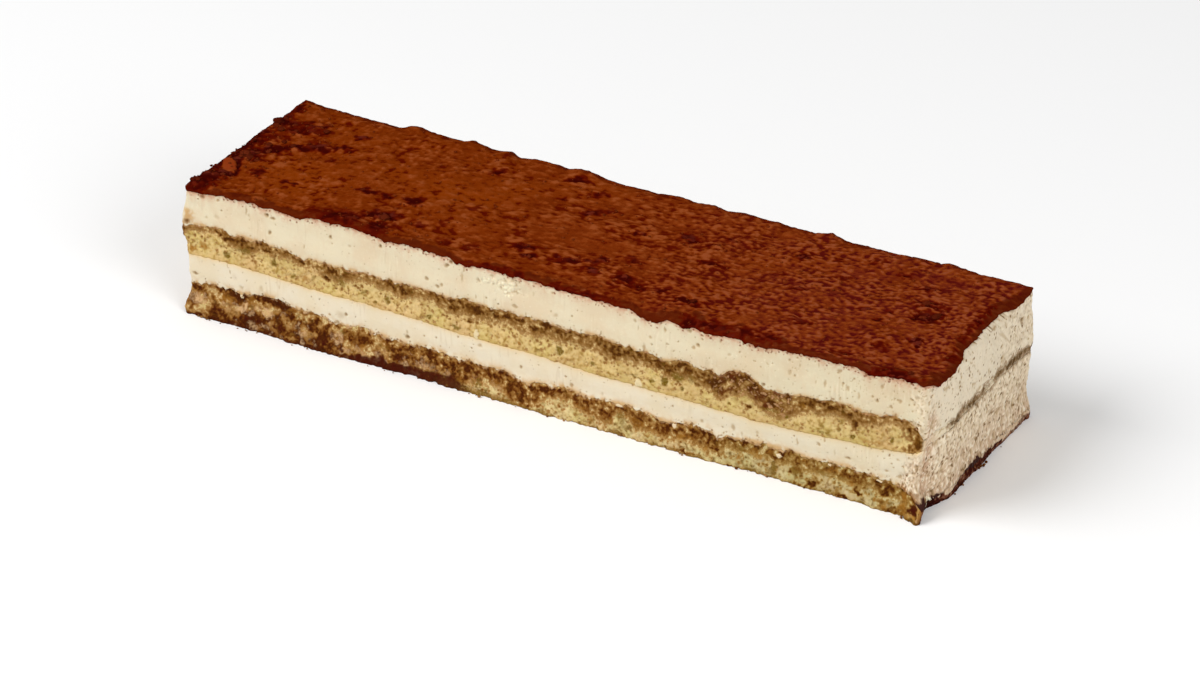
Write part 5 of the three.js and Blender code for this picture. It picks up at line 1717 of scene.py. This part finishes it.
def cocoa_look(name, hues):
    """hues: base and right (the same to the right), fair, wine, painted highlights for the peaks and
    crests of the powder (the crests' one to the right apart), painted shades for its hollows and pits (the same to the
    left and right), moist, the dark of damp places and of the flake's painted shadow, the painted highlight of lumps
    in damp places, rim, flake."""
    k = Look(name)
    hue = {a: linear(*b) for a, b in hues.items()}
    damp_and_shadow, flake, rim = k.attribute("damp_and_shadow"), k.attribute("flake"), k.attribute("rim")
    heap, hollow_shade, fair = k.attribute("heap"), k.attribute("hollow_shade"), k.attribute("fair")
    fine = k.noise(0.8, 3.0, 0.65, offset=2.0)
    mid = k.noise(2.4, 3.0, 0.6, offset=8.0)
    broad = k.noise(22.0, 3.0, 0.5, offset=5.0)
    along = k.tree.nodes.new("ShaderNodeSeparateXYZ")
    k.link(k.place, along.inputs[0])
    wave = k.math("ADD", hollow_shade, k.times(k.math("SUBTRACT", mid, 0.5), 0.6))
    wave = k.math("ADD", wave, k.times(k.math("SUBTRACT", fine, 0.5), 0.4))
    base = k.mix(hue["base"], hue["right"], k.ramp(along.outputs[0], -0.09, 0.13))
    base = k.mix(base, hue["dim"], k.ramp(broad, 0.44, 0.64, to=(0, 0.7)))
    far = k.ramp(along.outputs[0], 0.0, 0.12)
    wine = k.times(k.ramp(k.noise(10.0, 3.0, 0.55, offset=6.1), 0.44, 0.66), far)
    base = k.mix(base, hue["wine"], k.times(wine, 0.75))
    base = k.mix(base, hue["fair"], fair)
    # painted highlights on the raised powder and painted shade in its hollows, by how deep each point lies
    lit = k.mix(hue["peak_highlight"], hue["fair"], k.times(fair, 0.5))
    base = k.mix(base, lit, k.ramp(wave, 0.46, 0.26))
    lit = k.mix(hue["crest_highlight"], hue["far_crest_highlight"], far)
    base = k.mix(base, lit, k.ramp(wave, 0.28, 0.0, to=(0, 0.85)))
    pit = k.mix(hue["hollow_shade"], hue["pit"], far)
    base = k.mix(base, pit, k.ramp(wave, 0.50, 0.82))
    edge = k.math("ADD", rim, k.times(k.math("SUBTRACT", mid, 0.5), 0.9))
    base = k.mix(base, hue["rim"], k.ramp(edge, 0.25, 0.95, to=(0, 0.82)))
    # damp places, and the flake's painted shadow beside it, in the darkest colours
    wet = k.math("ADD", damp_and_shadow, k.times(k.math("SUBTRACT", mid, 0.5), 0.7))
    wet = k.math("ADD", wet, k.times(k.math("SUBTRACT", hollow_shade, 0.5), 0.55))
    # in damp places: painted highlight on the raised lumps and chunks
    lumpy = k.ramp(wave, 0.42, 0.12, to=(0, 0.8))
    dampest = k.mix(hue["damp_and_shadow"], hue["lump_highlight"], lumpy)
    dampest = k.mix(dampest, hue["lump_highlight"], k.ramp(heap, 0.30, 0.9, to=(0, 0.6)))
    near = k.ramp(damp_and_shadow, 0.05, 0.2)
    base = k.mix(base, hue["moist"], k.times(k.ramp(wet, 0.04, 0.46, to=(0, 0.85)), near))
    base = k.mix(base, dampest, k.times(k.ramp(wet, 0.25, 0.90, to=(0, 0.95)), near))
    base = k.mix(base, hue["flake"], k.ramp(flake, 0.15, 0.9, to=(0, 0.9)))
    k.set("Base Color", base)
    k.set("Roughness", 0.95)
    k.set("Specular IOR Level", 0.0)
    k.set("Normal", k.bump(fine, 0.30, 0.8, under=k.bump(mid, 0.35, 0.5)))
    return k.material


def lump_look(name, light, dark, bump_mm=0.2):
    k = Look(name)
    fine = k.noise(0.8, 3.0, 0.6, offset=6.0)
    colour = k.mix(linear(*light), linear(*dark), k.attribute("shade"))
    # painted shade in the dips of the fine bump
    colour = k.mix(colour, linear(*dark), k.ramp(fine, 0.56, 0.36, to=(0, 0.5)))
    k.set("Base Color", colour)
    k.set("Roughness", k.ramp(fine, 0.2, 0.8, to=(0.80, 0.95)))
    k.set("Specular IOR Level", 0.0)
    k.set("Normal", k.bump(fine, bump_mm, 0.8))
    return k.material


def give(ob, material, node):
    ob.data.materials.append(material)
    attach(ob, "root")
    if node:
        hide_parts(node)
    return ob


# ============================================================================================
# build
# ============================================================================================
# the pits' colours in these sets are painted shade
LOW_HUES = dict(
    crumb=[(118, 90, 40), (168, 142, 90), (198, 176, 121), (207, 187, 133), (214, 195, 143)],
    coffee=[(196, 162, 108), (164, 124, 72), (140, 99, 48), (116, 71, 24), (84, 40, 4), (60, 22, 2)],
    worn=[(140, 98, 76), (102, 60, 42), (66, 25, 14), (38, 6, 3)],
    away=[(0.91, 0.92, 0.95), (0.96, 1.02, 1.0), (1.0, 1.0, 0.97)],
    gold=(176, 142, 84), ochre=(156, 106, 38), olive=(114, 86, 30), red=(62, 14, 4),
    paste=(206, 168, 122), hole_shade=(130, 94, 46), deep=(80, 42, 8),
    cream=(214, 194, 164), paler=(226, 210, 184), warm=(192, 162, 132),
)  # fmt: skip
HIGH_HUES = dict(
    crumb=[(150, 116, 54), (190, 158, 98), (206, 177, 118), (212, 184, 126), (218, 191, 134)],
    coffee=[(188, 152, 98), (160, 122, 72), (140, 101, 52), (118, 78, 30), (92, 53, 10), (66, 32, 4)],
    worn=[(160, 134, 106), (136, 110, 80), (112, 88, 58), (84, 60, 32)],
    away=[(0.945, 0.955, 0.945), (0.97, 0.98, 0.98), (1.0, 0.985, 0.91)],
    gold=(186, 152, 90), ochre=(150, 100, 28), olive=(108, 83, 20), red=(84, 34, 10),
    paste=(190, 146, 102), hole_shade=(150, 114, 56), deep=(84, 48, 10),
    cream=(214, 198, 168), paler=(224, 210, 184), warm=(196, 166, 136),
)  # fmt: skip
# the colours for raised grain, torn cream and drag ridges are painted highlights, the cool one a painted shade tint,
# the pore, pit and deep colours painted shade (deep also real flecks)
CREAM_HUES = dict(
    base=(214, 201, 172), warm=(210, 191, 160), light=(224, 213, 188), torn_highlight=(232, 224, 192),
    end_shade_tint=(217, 203, 178),
    porous=(215, 196, 167), pale=(232, 217, 192), scorched=(190, 154, 124), pore_shade=(152, 122, 90),
    hole_shade=(172, 146, 108), deep=(112, 86, 50), cocoa=(126, 72, 44), grit=(146, 114, 78),
    stain=(52, 20, 11),
)  # fmt: skip
LOW_CREAM_HUES = {**CREAM_HUES, "base": (219, 207, 183), "warm": (216, 201, 172)}
# peak and crest colours are painted highlights on raised powder, the hollow and pit colours painted shade, the lump
# colour a painted highlight, and the darkest damp colour also the flake's painted shadow
COCOA_HUES = dict(
    base=(113, 42, 4), right=(111, 40, 13), dim=(104, 36, 4), fair=(127, 52, 5),
    peak_highlight=(126, 54, 16), crest_highlight=(142, 70, 33), far_crest_highlight=(138, 68, 40), hollow_shade=(84, 15, 1),
    pit=(80, 14, 10), wine=(100, 30, 18), moist=(86, 12, 1), damp_and_shadow=(54, 5, 3), lump_highlight=(100, 38, 26), rim=(78, 22, 5),
    flake=(136, 52, 18),
)  # fmt: skip

low_sponge = wall_layer("ladyfingers_lower", foot, low_sponge_top, 34, sponge_relief(True, 100))
give(low_sponge, sponge_look("soaked_sponge_crumb", LOW_HUES), "sponge_lower")
low_cream = wall_layer(
    "mascarpone_lower", low_sponge_top, high_sponge_base, 30, cream_relief(True, 200)
)
give(low_cream, cream_look("mascarpone_cream_lower", LOW_CREAM_HUES), "cream_lower")
high_sponge = wall_layer(
    "ladyfingers_upper", high_sponge_base, high_sponge_top, 34, sponge_relief(False, 400)
)
give(high_sponge, sponge_look("pale_sponge_crumb", HIGH_HUES), "sponge_upper")
high_cream = wall_layer(
    "mascarpone_upper", high_sponge_top, cream_top, 42, cream_relief(False, 500), rim_round
)
give(high_cream, cream_look("mascarpone_cream_upper", CREAM_HUES), "cream_upper")
give(cocoa_mesh(), cocoa_look("cocoa_powder", COCOA_HUES), "cocoa_crust")

rng = np.random.default_rng(7)


def top_places(n, weight, margin=0.5):
    """Random places on the cocoa, kept by weight."""
    x = rng.uniform(-HX + margin, HX - margin - 2.5, n * 6)
    y = rng.uniform(-HY + margin, HY - margin, n * 6)
    keep = rng.uniform(0, 1, len(x)) < weight(x, y)
    x, y = x[keep][:n], y[keep][:n]
    z, _ = cocoa_height(x, y)
    sx, sy = shape_sides(x, y, z)
    return x, y, np.stack([sx - cocoa_inset(x, y), sy, z], 1)


def grain_weight(x, y):
    dark, _ = patch_fields(x, y)
    heap = 1 - smooth(-168, -138, x)
    return clamp01(0.12 + 0.5 * dark + 0.4 * heap + 0.15 * noise(x, y, 0, 14, 801))


x, y, where = top_places(800, grain_weight)
dark, _ = patch_fields(x, y)
give(
    scatter(
        "cocoa_grains",
        where,
        0.28 + 0.45 * rng.uniform(0, 1, len(x)) ** 2.4,
        0.75,
        1,
        rng,
        attributes={"shade": clamp01(0.8 * dark + rng.uniform(0.0, 0.5, len(x)))},
        sink=0.4,
    ),
    lump_look("cocoa_grain", (130, 56, 22), (72, 18, 5)),
    None,
)


def clod_weight(x, y):
    dark, _ = patch_fields(x, y)
    heap = 1 - smooth(-170, -142, x)
    return clamp01(0.9 * heap * (0.35 + 0.8 * dark) + 0.55 * dark - 0.15) * (1 - smooth(30, 38, y))


x, y, where = top_places(120, clod_weight, 2.5)
give(
    scatter(
        "cocoa_clods",
        where,
        0.9 + 1.2 * rng.uniform(0, 1, len(x)) ** 2,
        0.50,
        3,
        rng,
        rough=0.34,
        attributes={"shade": rng.uniform(0.4, 1.0, len(x))},
        sink=0.48,
    ),
    lump_look("cocoa_clod", (112, 44, 20), (66, 16, 6), 0.3),
    None,
)

# crumbs at the foot of the cut side and of the nose end
n = 44
sx, sy = shape_sides(rng.uniform(-HX, HX - 4, n), np.full(n, -HY), np.zeros(n))
where = [np.stack([sx, sy - rng.uniform(-0.3, 1.2, n) - 0.4, np.zeros(n)], 1)]
m = 10
ye = np.concatenate([rng.uniform(-28, 30, m // 2), rng.uniform(-4, 2, m - m // 2)])
sx, sy = shape_sides(np.full(m, HX), ye, np.zeros(m))
where.append(np.stack([sx + rng.uniform(0.1, 1.5, m), sy, np.zeros(m)], 1))
give(
    scatter(
        "sponge_crumbs",
        np.concatenate(where),
        0.25 + 0.42 * rng.uniform(0, 1, n + m) ** 2,
        0.8,
        2,
        rng,
        attributes={"shade": np.concatenate([rng.uniform(0.2, 1.0, n), rng.uniform(0.6, 1.0, m)])},
        sink=0.0,
    ),
    lump_look("sponge_crumb", (182, 138, 82), (84, 42, 16)),
    None,
)

# ============================================================================================
# stage, light and camera
# ============================================================================================
floor_mesh = bpy.data.meshes.new("floor")
S = 3.0
floor_mesh.from_pydata([(-S, -S, 0), (S, -S, 0), (S, S, 0), (-S, S, 0)], [], [(0, 1, 2, 3)])
floor = bpy.data.objects.new("floor", floor_mesh)
bpy.context.scene.collection.objects.link(floor)
k = Look("floor_pale")
k.set("Base Color", (0.93, 0.93, 0.93, 1))
k.set("Roughness", 0.6)
k.set("Specular IOR Level", 0.1)
floor_mesh.materials.append(k.material)

world = bpy.data.worlds.new("studio")
world.use_nodes = True
world.node_tree.nodes["Background"].inputs[0].default_value = (1.0, 1.0, 1.0, 1)
world.node_tree.nodes["Background"].inputs[1].default_value = 0.40
bpy.context.scene.world = world


def soft_light(name, azimuth, elevation, distance, size, watts):
    data = bpy.data.lights.new(name, "AREA")
    data.shape = "DISK"
    data.size = size
    data.energy = watts
    ob = bpy.data.objects.new(name, data)
    a, e = math.radians(azimuth), math.radians(elevation)
    d = Vector((math.sin(a) * math.cos(e), -math.cos(a) * math.cos(e), math.sin(e)))
    ob.location = d * distance + Vector((0, 0, 0.03))
    ob.rotation_mode = "QUATERNION"
    ob.rotation_quaternion = (-d).to_track_quat("-Z", "Y")
    bpy.context.scene.collection.objects.link(ob)


soft_light("key", -50, 43, 3.2, 2.4, 80)
soft_light("fill", 62, 32, 2.4, 1.4, 26)

camera_data = bpy.data.cameras.new("camera")
camera_data.lens = 147.0
camera_data.sensor_width = 36.0
camera_data.clip_start = 0.05
camera_data.clip_end = 20
camera = bpy.data.objects.new("camera", camera_data)
az, el = math.radians(29.42), math.radians(28.56)
back = Vector((math.sin(az) * math.cos(el), -math.cos(az) * math.cos(el), math.sin(el)))
right = Vector((math.cos(az), math.sin(az), 0))
centre = (CAD_LO + CAD_HI) / 2
centre.z = 0.030
camera.location = centre + back * 2.036
aim = centre - back.cross(right).normalized() * 0.0158
camera.rotation_mode = "QUATERNION"
camera.rotation_quaternion = (aim - camera.location).to_track_quat("-Z", "Y")
bpy.context.scene.collection.objects.link(camera)
bpy.context.scene.camera = camera

bpy.context.scene.view_settings.view_transform = "Standard"
bpy.context.scene.view_settings.look = "None"
